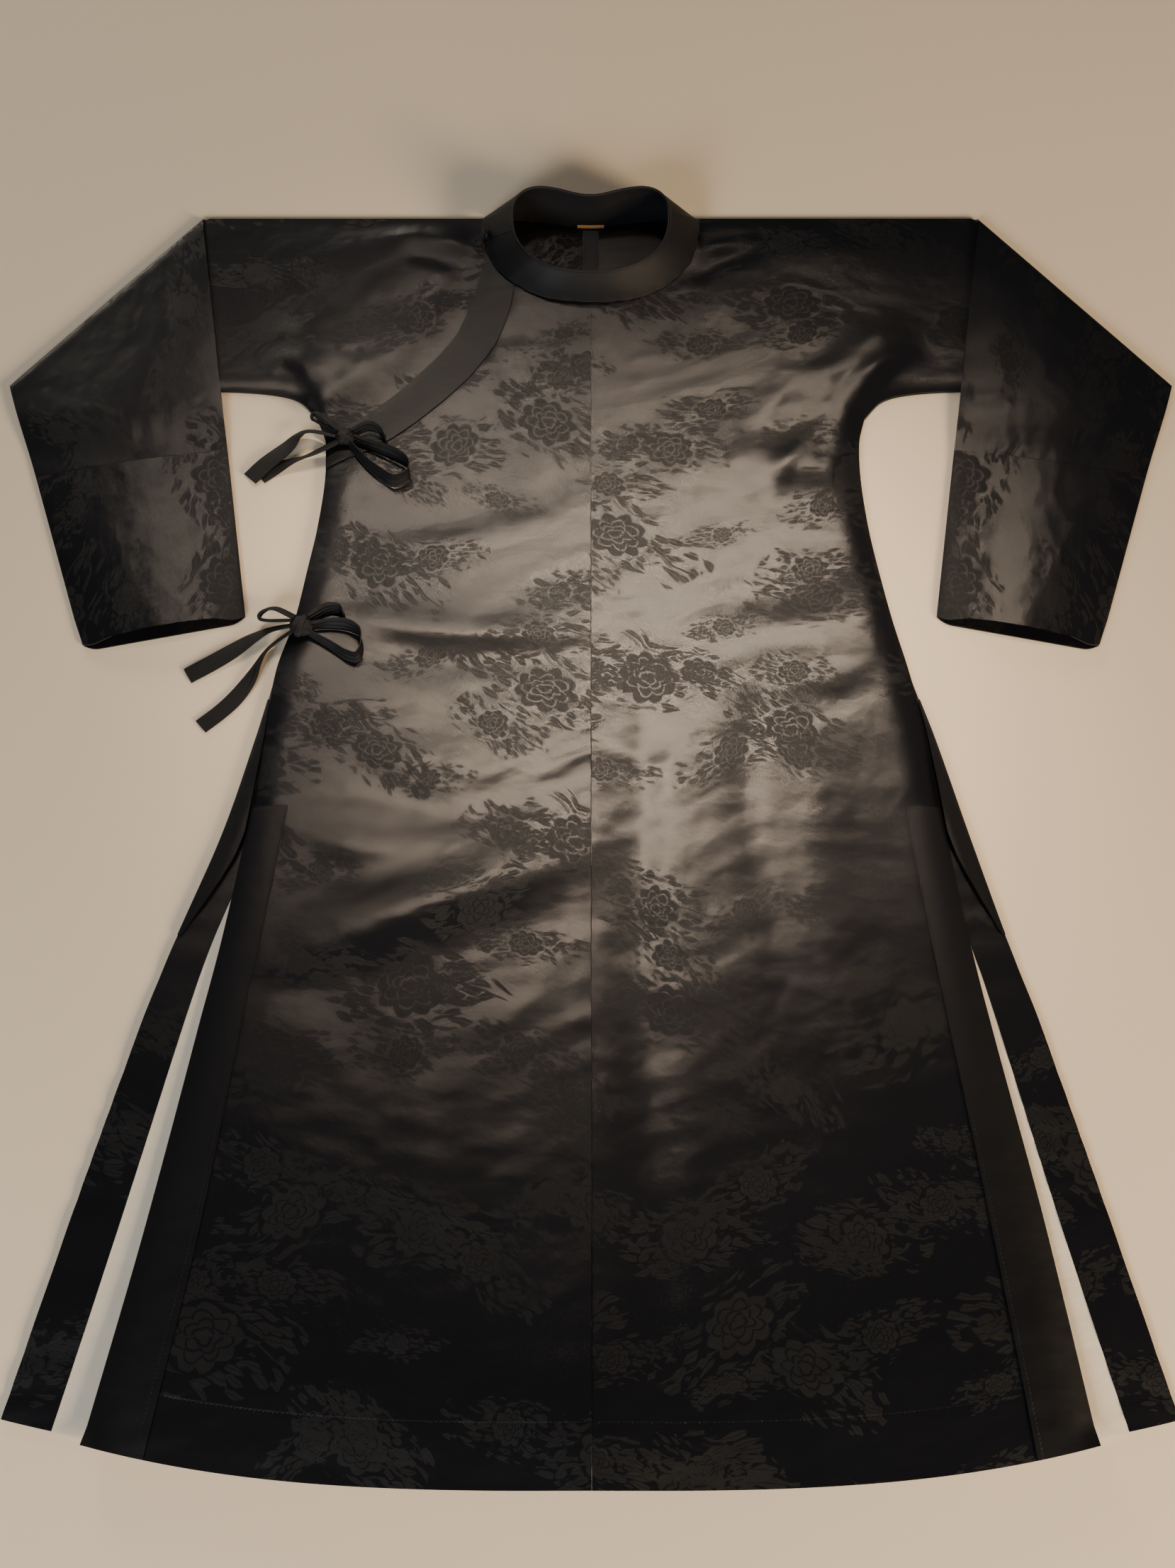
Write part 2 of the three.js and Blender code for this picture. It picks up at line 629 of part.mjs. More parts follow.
// The top of what the collar is sewn to: the highest place close to the neck's edge
function neckTop(turn) {
  const near = [0, collarWall].flatMap((out) => [[0, out], [-nearby, out], [nearby, out]]);
  const tops = near.map(([step, out]) => {
    const [x, y] = neckPoint(turn + step);
    const scale = 1 + out / neck.half;
    const at = [x * scale, neck.y + (y - neck.y) * scale];
    const right = overlapUnder(...at) + cloth + trim + seam;
    return x > 0 ? blend(right, leftUnder(...at) + cloth, smooth(x / frontsMeet)) : right;
  });
  return blend(Math.max(...tops), cloth, smooth((Math.sin(radians(turn)) - ontoBack.from) / ontoBack.over));
}

const collarSteps = 52;

// A section across the collar's wall: outer and inner base, inner and outer rim
function collarSection(turn) {
  const offset = (point, by) => {
    const [a, b] = [point(turn - 1), point(turn + 1)];
    const length = Math.hypot(b[0] - a[0], b[1] - a[1]);
    const [x, y] = point(turn);
    return [x + ((b[1] - a[1]) / length) * by, y - ((b[0] - a[0]) / length) * by];
  };
  const base = neckTop(turn) + 2 * seam + collarLap;
  const alike = turn > 90 ? 180 - turn : turn < -90 ? -180 - turn : turn;
  const height = read(rimHeight, "turn", alike, "z");
  return [
    [...offset(neckPoint, collarWall - collarLap), base],
    [...offset(neckPoint, -collarLap), base],
    [...offset(rimPoint, -collarWall / 2), height],
    [...offset(rimPoint, collarWall / 2), height],
  ];
}

function addCollar() {
  const opening = 0.3;
  const from = knotTurn + opening / 2;
  const turns = Array.from({ length: collarSteps + 1 }, (_, i) => {
    return from + ((360 - opening) * i) / collarSteps;
  });
  addBar("collar", "collar", turns.map(collarSection));
}

// ---- Inside the neck

function addBox(name, finish, size, place) {
  const mesh = new THREE.Mesh(
    new THREE.BoxGeometry(...size),
    new THREE.MeshStandardMaterial({ ...finishes[finish], metalness: 0 }),
  );
  mesh.name = name;
  mesh.position.set(...place);
  robe.add(mesh);
}

const tape = { wide: 15, from: 930, to: 1066 };
const tab = { wide: 25, high: 4, thick: 1 };

function addNeckInside() {
  const middle = (tape.from + tape.to) / 2;
  const tapeSize = [tape.wide, tape.to - tape.from, trim];
  addBox("back_seam_tape", "tape", tapeSize, [0, middle, firstLayer + trim / 2]);
  const wall = neckPoint(90)[1] - collarLap;
  const tabHeight = firstLayer + tab.high / 2;
  addBox("neck_tab", "tab", [tab.wide, tab.thick, tab.high], [0, wall - seam - tab.thick / 2, tabHeight]);
}

// ---- Knot button

const button = { radius: 4.6, rise: 11, loop: 4.2, cord: 0.9, forward: 2 };

function addKnot() {
  const [x, y] = neckPoint(knotTurn);
  const top = neckTop(knotTurn);
  const material = new THREE.MeshStandardMaterial({ ...finishes.ribbon, metalness: 0 });
  const ball = new THREE.Mesh(new THREE.IcosahedronGeometry(button.radius, 1), material);
  ball.name = "knot_button";
  ball.position.set(x, y, top + button.rise);
  const loop = new THREE.Mesh(new THREE.TorusGeometry(button.loop, button.cord, 6, 16), material);
  loop.name = "button_loop";
  const beside = collarWall + button.loop + button.cord;
  loop.position.set(x - beside, y - button.forward, top + button.cord + seam);
  robe.add(ball, loop);
}

// ---- Side ties

const ribbon = { wide: 15, thick: 1.2 };
const offBody = 2;
const facingReach = 30;

// The top of what a ribbon at x, y lies on: the overlap, with its facing up by the neck, or the
// surface under the robe
function coverAt(x, y) {
  if (Math.abs(x) > sideAt(y, x) + offBody) return 0;
  return overlapUnder(x, y) + cloth + (y > overlapTop - facingReach ? seam + trim : 0);
}

// A ribbon along a path, which is gathered to a width at some of its rows. turn tips it up from
// lying flat, in degrees, and z is its middle, which never comes down into what it lies on.
function addRibbon(name, path) {
  const sections = path.map((row, i) => {
    const before = path[Math.max(0, i - 1)];
    const after = path[Math.min(path.length - 1, i + 1)];
    const length = Math.hypot(after.x - before.x, after.y - before.y);
    const across = { x: -(after.y - before.y) / length, y: (after.x - before.x) / length };
    const [c, s] = [Math.cos(radians(row.turn)), Math.sin(radians(row.turn))];
    const half = (row.wide ?? ribbon.wide) / 2;
    const under = Math.max(...[-half * c, 0, half * c].map((w) => {
      return coverAt(row.x + across.x * w, row.y + across.y * w);
    }));
    const z = Math.max(row.z, under + half * Math.abs(s) + ribbon.thick / 2 + seam);
    return [[-1, -1], [1, -1], [1, 1], [-1, 1]].map(([side, face]) => {
      const w = side * half;
      const t = (face * ribbon.thick) / 2;
      const out = w * c - t * s;
      return [row.x + across.x * out, row.y + across.y * out, z + w * s + t * c];
    });
  });
  addBar(name, "ribbon", sections);
}

// A bow: its knot, and ribbons that leave the knot, and come back to it, at an angle called out.
function addTie(name, knot, ribbons) {
  const z = coverAt(knot.x, knot.y) + knot.gap + knot.high / 2;
  const material = new THREE.MeshStandardMaterial({ ...finishes.ribbon, metalness: 0 });
  const mesh = new THREE.Mesh(new THREE.IcosahedronGeometry(0.5, 2), material);
  mesh.name = `${name}_knot`;
  mesh.scale.set(knot.wide, knot.deep, knot.high);
  mesh.position.set(knot.x, knot.y, z);
  robe.add(mesh);

  const atKnot = (row) => {
    const [c, s] = [Math.cos(radians(row.out)), Math.sin(radians(row.out))];
    const reach = 1 / Math.hypot((2 * c) / knot.wide, (2 * s) / knot.deep) + seam;
    return { ...row, x: knot.x + c * reach, y: knot.y + s * reach, z: z + row.rise };
  };
  for (const [part, path] of Object.entries(ribbons)) {
    addRibbon(`${name}_${part}`, path.map((row) => (row.out === undefined ? row : atKnot(row))));
  }
}

function addTies() {
  addTie("tie_upper", { x: -218, y: 828, wide: 18, deep: 18, high: 10, gap: 0.8 }, {
    loop_outer: [
      { out: 130, rise: 1.5, turn: 40, wide: 8 },
      { x: -237, y: 848, z: 15, turn: 45, wide: 9 },
      { x: -246, y: 853, z: 14, turn: 60, wide: 9 },
      { x: -249, y: 850, z: 12, turn: 90, wide: 9 },
      { x: -244, y: 846, z: 12, turn: 120, wide: 8 },
      { out: 152, rise: 2, turn: 130, wide: 6 },
    ],
    loop_inner: [
      { out: 28, rise: 1, turn: 50, wide: 8 },
      { x: -198, y: 837, z: 18, turn: 55, wide: 10 },
      { x: -188, y: 833, z: 18, turn: 75, wide: 10 },
      { x: -182, y: 825, z: 17, turn: 90, wide: 10 },
    ],
    loop_long: [
      { out: -16, rise: 1, turn: 60, wide: 8 },
      { x: -190, y: 815, z: 17, turn: 60, wide: 11 },
      { x: -174, y: 807, z: 17, turn: 65, wide: 14 },
      { x: -161, y: 797, z: 16, turn: 80, wide: 14 },
      { x: -160, y: 786, z: 16, turn: 95, wide: 14 },
      { x: -172, y: 779, z: 16, turn: 110, wide: 14 },
      { x: -186, y: 788, z: 16, turn: 110, wide: 13 },
      { x: -199, y: 801, z: 16, turn: 110, wide: 11 },
      { out: -58, rise: 1, turn: 105, wide: 8 },
    ],
    tail_top: [
      { out: 172, rise: 0, turn: 45, wide: 7 },
      { x: -250, y: 836, z: 11, turn: 48, wide: 10 },
      { x: -261, y: 833, z: 8.5, turn: 35, wide: 13 },
      { x: -271, y: 822, z: 6, turn: 15 },
      { x: -289, y: 806, z: 4, turn: 0 },
      { x: -302, y: 792, z: 2.6, turn: 0 },
    ],
    tail_under: [
      { out: 212, rise: -1, turn: 30, wide: 7 },
      { x: -243, y: 816, z: 9, turn: 40, wide: 9 },
      { x: -255, y: 812, z: 6, turn: 50, wide: 11 },
      { x: -267, y: 809, z: 4, turn: 30, wide: 12 },
      { x: -281, y: 803, z: 1.5, turn: 0, wide: 13 },
      { x: -293, y: 794, z: 1, turn: 0, wide: 13 },
    ],
  });
  addTie("tie_lower", { x: -245, y: 638, wide: 20, deep: 22, high: 10, gap: 1.8 }, {
    loop_outer: [
      { out: 128, rise: 1.5, turn: 40, wide: 8 },
      { x: -268, y: 656, z: 13, turn: 50, wide: 9 },
      { x: -278, y: 654, z: 12.5, turn: 70, wide: 9 },
      { x: -282, y: 649, z: 12, turn: 90, wide: 9 },
      { x: -277, y: 646, z: 12, turn: 115, wide: 8 },
      { out: 152, rise: 2, turn: 125, wide: 6 },
    ],
    loop_inner: [
      { out: 48, rise: 1, turn: 50, wide: 8 },
      { x: -225, y: 654, z: 16, turn: 55, wide: 10 },
      { x: -214, y: 654, z: 17, turn: 75, wide: 10 },
      { x: -209, y: 647, z: 17, turn: 95, wide: 10 },
    ],
    loop_long: [
      { out: 0, rise: 1, turn: 60, wide: 8 },
      { x: -221, y: 639, z: 16, turn: 60, wide: 11 },
      { x: -206, y: 637, z: 17, turn: 65, wide: 13 },
      { x: -195, y: 630, z: 17, turn: 80, wide: 13 },
      { x: -193, y: 617, z: 17, turn: 95, wide: 13 },
      { x: -197, y: 608, z: 16, turn: 105, wide: 13 },
      { x: -207, y: 611, z: 16, turn: 110, wide: 12 },
      { x: -218, y: 619, z: 15, turn: 110, wide: 10 },
      { out: -42, rise: 1, turn: 105, wide: 8 },
    ],
    tail_top: [
      { out: 178, rise: 0, turn: 45, wide: 7 },
      { x: -273, y: 638, z: 8.5, turn: 40, wide: 11 },
      { x: -288, y: 631, z: 6, turn: 25, wide: 14 },
      { x: -303, y: 621, z: 4, turn: 8 },
      { x: -319, y: 611, z: 2.4, turn: 0 },
      { x: -341, y: 598, z: 1.2, turn: 0 },
    ],
    tail_under: [
      { out: 210, rise: -1, turn: 50, wide: 6 },
      { x: -267, y: 627, z: 7, turn: 60, wide: 8 },
      { x: -276, y: 618, z: 6, turn: 60, wide: 10 },
      { x: -282, y: 607, z: 5, turn: 45, wide: 12 },
      { x: -289, y: 592, z: 3, turn: 12, wide: 13 },
      { x: -299, y: 577, z: 1.8, turn: 0, wide: 14 },
      { x: -311, y: 564, z: 1.5, turn: 0, wide: 14 },
      { x: -326, y: 551, z: 1.2, turn: 0, wide: 14 },
    ],
  });
}

addBack("back_left", 1);
addBack("back_right", -1);
addLining();
addBackFacing("slit_facing_back_left", 1);
addBackFacing("slit_facing_back_right", -1);
addSideTurn("side_turn_left", 1);
addSideTurn("side_turn_right", -1);
addInnerFront();
addLeftFront();
addOverlap();
addSlitFacing("slit_facing_front_left", 1, leftUnder);
addSlitFacing("slit_facing_front_right", -1, overlapUnder);
addSleeve("sleeve_left", 1);
addSleeve("sleeve_right", -1);
addCollar();
addNeckInside();
addKnot();
addTies();

// The origin is under the middle of the robe, on the surface that it lies on.
const bounds = new THREE.Box3().setFromObject(robe, true);
robe.position.y = -(bounds.min.y + bounds.max.y) / 2;
robe.updateMatrixWorld(true);

export default robe;
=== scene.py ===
import math
from itertools import product

import bpy
import numpy as np
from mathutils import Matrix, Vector


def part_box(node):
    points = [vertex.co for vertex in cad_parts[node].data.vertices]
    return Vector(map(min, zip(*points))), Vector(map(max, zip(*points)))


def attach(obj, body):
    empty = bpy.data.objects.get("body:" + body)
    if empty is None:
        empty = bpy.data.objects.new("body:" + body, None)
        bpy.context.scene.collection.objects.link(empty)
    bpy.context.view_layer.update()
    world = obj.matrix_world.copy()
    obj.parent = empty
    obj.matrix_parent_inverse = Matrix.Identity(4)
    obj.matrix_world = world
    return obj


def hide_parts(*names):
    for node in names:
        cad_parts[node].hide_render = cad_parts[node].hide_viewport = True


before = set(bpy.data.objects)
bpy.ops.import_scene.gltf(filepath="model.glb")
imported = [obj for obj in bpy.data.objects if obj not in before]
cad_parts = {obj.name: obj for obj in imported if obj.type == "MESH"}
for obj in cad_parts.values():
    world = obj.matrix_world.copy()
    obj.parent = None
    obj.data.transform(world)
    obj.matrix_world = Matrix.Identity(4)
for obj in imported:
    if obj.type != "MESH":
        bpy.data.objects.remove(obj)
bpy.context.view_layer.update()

# Lengths are in millimetres: x to the wearer's left, y up from the back hem's corners, z from the surface.
robe = {
    "cloth": 1.2, "trim": 1.0, "seam": 0.3, "shoulder": 1080, "armpit": 855, "slitBar": 476,
    "slitTop": 455, "liningTop": 440, "turnEnd": 362, "turnStart": 600, "hemReach": 300,
    "overlapTop": 800, "innerHem": 476, "centre": 0.03, "step": 4.5, "coarse": 8, "hemStitch": 45,
    "seamGroove": 0.5, "innerFrom": 60,
    # each hem: how far down its middle hangs, how far its sides rise, and their distance from the middle
    "frontHem": (45, 31, 364), "backHem": (30, 34, 426),
}
cloth, trim, seam = robe["cloth"], robe["trim"], robe["seam"]
shoulderLine, armpit = robe["shoulder"], robe["armpit"]
slitTop, overlapTop = robe["slitTop"], robe["overlapTop"]
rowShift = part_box("back_left")[0].y * 1000 + robe["backHem"][0]

firstLayer = cloth + seam
overLining = firstLayer + trim + 0.6
overInner = firstLayer + cloth + 1.2

# Half widths of the back and fronts at heights up the robe, and widths of the facings at their slits
outline = {
    "y": [0, 150, 300, 362, 455, 540, 600, 650, 700, 740, 790, 830, 855],
    "sideL": [422, 387, 349, 331, 307, 286, 269, 258, 249, 243, 239, 240, 246],
    "sideR": [424, 389, 350, 331, 300, 279, 266, 253, 245, 239, 235, 237, 246],
    "frontL": [360, 338, 310, 300, 288, 279, 269, 258, 249, 243, 239, 240, 246],
    "frontR": [362, 332, 304, 293, 280, 271, 266, 253, 245, 239, 235, 237, 246],
    "frontFacing": [46, 41, 34, 32, 31, 30, 30, 30, 30, 30, 30, 30, 30],
    "backFacing": [37, 37, 33, 30, 30, 30, 30, 30, 30, 30, 30, 30, 30],
}
# The sleeves' lower edge as cut, and how each is folded over the front, stacked and rounded
underarm = {"x": [246, 262, 285, 330, 430, 521, 629, 809], "y": [855, 873, 881, 885, 887, 891, 910, 941]}
sleeve = {
    "foldHigh": (361, 1080), "foldLow": (521, 891), "axis": 2 * cloth + seam + 0.4, "seamAt": 629,
    "cuffHigh": 804, "cuffLow": 809, "setBack": 9, "stack": 3.5, "dropFrom": 812, "dropOver": 50,
    "loftAt": [400, 629, 804], "loft": [2.5, 4.5, 12], "cornerWide": 14, "cornerBack": 6,
    "loftOver": 90, "flat": 155, "hidden": 4, "uvShift": 260,
}
neck = {
    "half": 100, "front": 94, "back": 8, "y": 1072, "power": 2 / 2.3, "backPower": 0.5, "dip": 9,
    "dipWide": 45,
}
rim = {
    "half": 72, "front": 62, "back": 36, "y": 1050, "power": 2 / 2.3, "backPower": 0.6, "dip": 9,
    "dipWide": 30, "turns": [-90, 0, 50, 90], "heights": [41, 41, 44, 38],
}
# The overlap's curved edge, where its facing meets the neck by turns round it, and how wide the facing is
overlapEdge = {
    "x": [98.1, 100.5, 102, 105.5, 110, 122, 138, 156, 184, 211, 236.5],
    "y": [1047.9, 1030, 1012, 997, 980, 945, 920, 899, 870, 848, 832],
    "neck": [-12, -25, -37, -48], "wide": [37, 38, 38, 38, 37, 35],
}

# How high the front swells, how far in from its edges and from the folded sleeve, and how it meets the hem
swell = {
    "high": 6, "edge": 34, "turn": 27, "sharp": 2.4, "sleeve": 62, "slow": 170, "slowUp": 70, "hem": 6,
    "hemTop": 140, "hemReach": 160, "neck": (12, 30), "shoulder": 45, "sleeveLean": 0.17, "sleeveIn": 15,
}
# How a fold ends, how broad its crown is, and how its two sides differ
foldForm = {"ends": (0.06, 0.94), "crown": 0.7, "slack": 1.2, "steep": 0.8}

# The largest folds, as in the solids: how high, how wide, and the path of each
largeFolds = [
    (5.5, 17, [(330, 900), (304, 912), (280, 917), (258, 904), (247, 872), (243, 836)]),
    (2.6, 14, [(318, 940), (286, 946), (254, 936), (222, 904), (205, 868)]),
    (5.5, 18, [(-330, 900), (-304, 912), (-280, 918), (-258, 908), (-246, 876), (-240, 846)]),
    (2.6, 14, [(-322, 942), (-290, 950), (-258, 942), (-226, 910), (-204, 884)]),
    (3.4, 19, [(104, 1036), (130, 1052), (172, 1066)]),
    (-3, 13, [(92, 1004), (125, 1026), (170, 1048)]),
    (6, 14, [(-184, 1062), (-150, 1062), (-112, 1042)]),
    (-3, 14, [(-176, 1040), (-140, 1030), (-100, 1008)]),
    (4.2, 16, [(-214, 640), (-165, 640), (-110, 634), (-50, 630), (-6, 634)]),
    (-1.6, 17, [(-206, 612), (-150, 604), (-90, 606), (-20, 618)]),
    (6, 26, [(-240, 344), (-190, 368), (-125, 392), (-70, 412), (-10, 432)]),
    (-2.5, 20, [(-225, 310), (-150, 330), (-80, 356), (-4, 384)]),
    (-2.5, 22, [(52, 640), (44, 540), (38, 400), (42, 260), (50, 120), (46, 10)]),
    (8, 60, [(0, -150), (0, -60), (0, 60)]),
    (5, 20, [(220, 790), (170, 800), (120, 816)]),
]
# Softer creases between them
softCreases = [
    (-2.6, 17, [(-196, 741), (-150, 744), (-90, 756), (-21, 780)]),
    (2.2, 14, [(-204, 712), (-150, 716), (-90, 728), (-24, 744)]),
    (2.0, 13, [(-96, 912), (-64, 886), (-26, 868)]),
    (-2.2, 13, [(-108, 962), (-72, 944), (-28, 936)]),
    (-2.8, 24, [(-120, 850), (-96, 812), (-86, 776)]),
    (2.2, 13, [(218, 908), (178, 882), (140, 844)]),
    (-2.2, 14, [(230, 872), (190, 846), (154, 800)]),
    (2.2, 12, [(205, 846), (170, 800), (150, 752)]),
    (2.4, 18, [(234, 704), (180, 678), (120, 666), (64, 672)]),
    (-2.4, 15, [(238, 664), (180, 644), (96, 640)]),
    (1.8, 12, [(236, 612), (200, 590), (160, 584)]),
    (-2.0, 14, [(238, 588), (204, 566), (150, 560)]),
    (-2.0, 20, [(150, 610), (132, 540), (128, 470), (150, 330)]),
    (2.0, 24, [(196, 560), (184, 480), (186, 400), (210, 250)]),
    (2.4, 18, [(-200, 534), (-150, 516), (-90, 508), (-24, 526)]),
    (-2.2, 16, [(-214, 492), (-150, 474), (-90, 470), (-24, 488)]),
    (2.2, 15, [(-236, 452), (-180, 440), (-120, 438)]),
    (-2.0, 14, [(-250, 424), (-190, 414), (-140, 418)]),
    (2.0, 24, [(-150, 300), (-120, 180), (-130, 60)]),
    (-1.8, 20, [(-90, 250), (-70, 130), (-74, 20)]),
    (1.8, 24, [(180, 200), (206, 100), (214, 0)]),
    (-1.7, 20, [(120, 180), (128, 80), (134, 0)]),
    (1.6, 18, [(-30, 330), (-60, 300), (-120, 290)]),
    (2.0, 16, [(30, 330), (80, 318), (140, 330)]),
]
# Short puckers that run off a seam: place up it, reach away from it, fall along the way, and height
centrePuckers = [
    (832, 30, 6, 0.5), (806, 44, 14, 0.7), (760, 26, 4, 0.5), (716, 34, 10, 0.6), (664, 48, 20, 0.9),
    (588, 36, 12, 0.8), (566, 52, 18, 1.1), (548, 40, 16, 1.0), (524, 70, 34, 1.5), (498, 58, 26, 1.1),
    (452, 34, 12, 0.7), (300, 40, 16, 0.7), (262, 30, 10, 0.6), (184, 42, 12, 0.7), (96, 36, 8, 0.6),
]


def smooth(t):
    t = np.clip(t, 0, 1)
    return t * t * (3 - 2 * t)


def blend(a, b, t):
    return a + (b - a) * t


# Places between table rows, and on them: so many to each gap
def fineSteps(count, each):
    return np.linspace(0, count - 1, (count - 1) * each + 1)


def signedPower(value, power):
    return np.sign(value) * np.abs(value) ** power


# Reads a smooth curve through a table's values at any place between them.
def curveThrough(keys, values, at):
    k, v, at = np.asarray(keys, float), np.asarray(values, float), np.asarray(at, float)
    slope = np.empty(len(k))
    slope[1:-1] = (v[2:] - v[:-2]) / (k[2:] - k[:-2])
    slope[0] = (v[1] - v[0]) / (k[1] - k[0])
    slope[-1] = (v[-1] - v[-2]) / (k[-1] - k[-2])
    i = np.clip(np.searchsorted(k, at, side="right") - 1, 0, len(k) - 2)
    span = k[i + 1] - k[i]
    t = (at - k[i]) / span
    ends = v[i] * (1 + 2 * t) * (1 - t) ** 2 + v[i + 1] * t * t * (3 - 2 * t)
    return ends + span * (slope[i] * t * (1 - t) ** 2 - slope[i + 1] * t * t * (1 - t))


# How far points lie from a path, on which side of it, and how far along it from 0 to 1
def distanceTo(path, x, y):
    far = np.full(np.shape(x), 1e9)
    side = np.ones(np.shape(x))
    along = np.zeros(np.shape(x))
    for i, ((ax, ay), (bx, by)) in enumerate(zip(path[:-1], path[1:])):
        t = np.clip(((x - ax) * (bx - ax) + (y - ay) * (by - ay)) / ((bx - ax) ** 2 + (by - ay) ** 2), 0, 1)
        away = np.hypot(x - blend(ax, bx, t), y - blend(ay, by, t))
        nearer = away < far
        side = np.where(nearer, np.sign((bx - ax) * (y - ay) - (by - ay) * (x - ax)), side)
        along = np.where(nearer, (i + t) / (len(path) - 1), along)
        far = np.where(nearer, away, far)
    return far, side, along


# The panels' side edges, and the inner edges of the facings beside them
def sideAt(y, side):
    return curveThrough(outline["y"], outline["sideL" if side > 0 else "sideR"], y)


def frontAt(y, side):
    return curveThrough(outline["y"], outline["frontL" if side > 0 else "frontR"], y)


def backBand(y, side):
    return sideAt(y, side) - curveThrough(outline["y"], outline["backFacing"], y)


def frontBand(y, side):
    return frontAt(y, side) - curveThrough(outline["y"], outline["frontFacing"], y)


def underarmAt(x):
    return curveThrough(underarm["x"], underarm["y"], x)


def frontHem(x, hem="frontHem"):
    down, rise, half = robe[hem]
    return rise * (np.abs(x) / half) ** 3 - down


def backHem(x):
    return frontHem(x, "backHem")


# The neck edge, or the collar's rim, round the body: 0 at the wearer's left, -90 in front, 90 at the back
def neckPoint(turn, ring=neck):
    c, s = np.cos(np.radians(turn)), np.sin(np.radians(turn))
    power = np.where(s < 0, ring["power"], ring["backPower"])
    x = ring["half"] * signedPower(c, power)
    dip = np.where(s < 0, 0, ring["dip"] * np.exp(-((x / ring["dipWide"]) ** 2)))
    return x, ring["y"] + np.where(s < 0, ring["front"], ring["back"]) * signedPower(s, power) - dip


def rimPoint(turn):
    return neckPoint(turn, rim)


sleeveEdge = list(zip(underarm["x"], underarm["y"]))[1:]
outlineL = list(zip(outline["frontL"], outline["y"])) + sleeveEdge
outlineR = list(zip(outline["frontR"], outline["y"])) + sleeveEdge
overlapPath = [(-x, y) for x, y in zip(overlapEdge["x"], overlapEdge["y"])]


# How far points of the front lie from its edge, from the shoulder as 0 to 1, and from the folded sleeve
def heldPlaces(x, y):
    half, down, (above, reach) = np.abs(x), shoulderLine - y, swell["neck"]
    far = np.where(x > 0, distanceTo(outlineL, half, y)[0], distanceTo(outlineR, half, y)[0])
    shoulder = np.where(half < neck["half"], (neck["y"] + above - y) / reach, down / swell["shoulder"])
    sleeveEdgeAt = sleeve["foldHigh"][0] - swell["sleeveLean"] * down - swell["sleeveIn"]
    return far, smooth(shoulder), sleeveEdgeAt - half


# From 0 where the front is held down, at its edges and under the folded sleeve, to 1 inside them
def loose(x, y):
    far, shoulder, fromSleeve = heldPlaces(x, y)
    uneven = swell["edge"] + 4 * np.sin(y * 0.043 + 2 * np.sin(y * 0.017)) + 2 * np.sin(y * 0.11 + x * 0.05)
    return smooth(far / uneven) * shoulder * np.where(y > armpit, smooth(fromSleeve / swell["sleeve"]), 1)


# The same for the cloth's own body, which turns down close to its edges and falls slowly to the sleeves
def body(x, y):
    far, shoulder, fromSleeve = heldPlaces(x, y)
    slow = blend(1, smooth(fromSleeve / swell["slow"]), smooth((y - armpit) / swell["slowUp"]))
    turned = 1 - (1 - np.clip(far / swell["turn"], 0, 1)) ** swell["sharp"]
    return turned * shoulder * np.where(y > armpit, slow, 1)


# Folds that rise along their paths and die away at both ends, steeper on their lower or right side
def ridges(folds, x, y):
    high = np.zeros(np.shape(x))
    for top, wide, path in folds:
        places = fineSteps(len(path), 6)
        fine = [curveThrough(range(len(path)), column, places) for column in zip(*path)]
        far, side, along = distanceTo(list(zip(*fine)), x, y)
        slack = side * np.sign(path[-1][0] - path[0][0]) > 0
        wide = wide * np.where(slack, foldForm["slack"], foldForm["steep"])
        crown = np.sin(math.pi * blend(*foldForm["ends"], along)) ** foldForm["crown"]
        high = high + top * crown * np.exp(-((far / wide) ** 2))
    return high


# How far the front stands up from the layer under it
def puff(x, y):
    inside = loose(x, y)
    hem = swell["hem"] * smooth((swell["hemTop"] - y) / swell["hemReach"]) * blend(0.5, 1, inside)
    return np.maximum(0, swell["high"] * body(x, y) + ridges(largeFolds, x, y) * inside + hem)


# Small uneven waves all over the cloth, the same at each run
def ripples(x, y, seed):
    wave = np.sin(x * 0.021 + y * 0.013 + seed) * np.sin(y * 0.017 - x * 0.006 + 2 * seed)
    finer = np.sin(x * 0.047 - y * 0.029 + 3 * seed) * np.sin(y * 0.041 + x * 0.019 + seed)
    small = np.sin(y * 0.17 + 2.4 * np.sin(x * 0.023 + seed) + 1.3 * np.sin(y * 0.047 + x * 0.011 + seed))
    small = small * np.sin(x * 0.052 + 2.1 * np.sin(y * 0.029 + 2 * seed))
    return 0.5 * wave + 0.22 * finer + 0.28 * small


# The puckers on one side of the centre seam, moved up it
def puckers(x, y, side, rows, up=0):
    high, away = np.zeros(np.shape(x)), side * x
    beyond = np.clip(away, 0, None)
    for at, reach, fall, top in rows:
        middle = at + up - fall * beyond / reach
        along = np.where(away < 0, 0, np.exp(-((away / reach) ** 2)))
        high = high + top * along * np.exp(-(((y - middle) / (3 + 0.12 * beyond)) ** 2))
    return high


def creases(x, y, seed):
    crossing = puckers(x, y, 1, centrePuckers[::2], 9) + puckers(x, y, -1, centrePuckers)
    soft = 0.6 * ridges(softCreases, x, y) + 0.8 * ripples(x, y, seed)
    return soft * loose(x, y) + 0.8 * crossing


# Presses the cloth down beside the overlap's edge
def pinch(far):
    return blend(0.3, 1, smooth(far / 45))


# The underside of each front: its swell over what lies below, and its creases
def leftShape(x, y):
    overSkirt = np.maximum(1 - smooth((y - slitTop) / 60), loose(x, y))
    under = blend(firstLayer, overLining, overSkirt) + puff(x, y)
    return np.maximum(under + creases(x, y, 1.3), firstLayer)


def overlapShape(x, y):
    far = distanceTo(overlapPath, x, y)[0]
    under = overInner + puff(x, y) * np.where(y > overlapTop - 60, pinch(far), 1)
    return np.maximum(under + creases(x, y, 4.1) * smooth(far / 30), overInner)


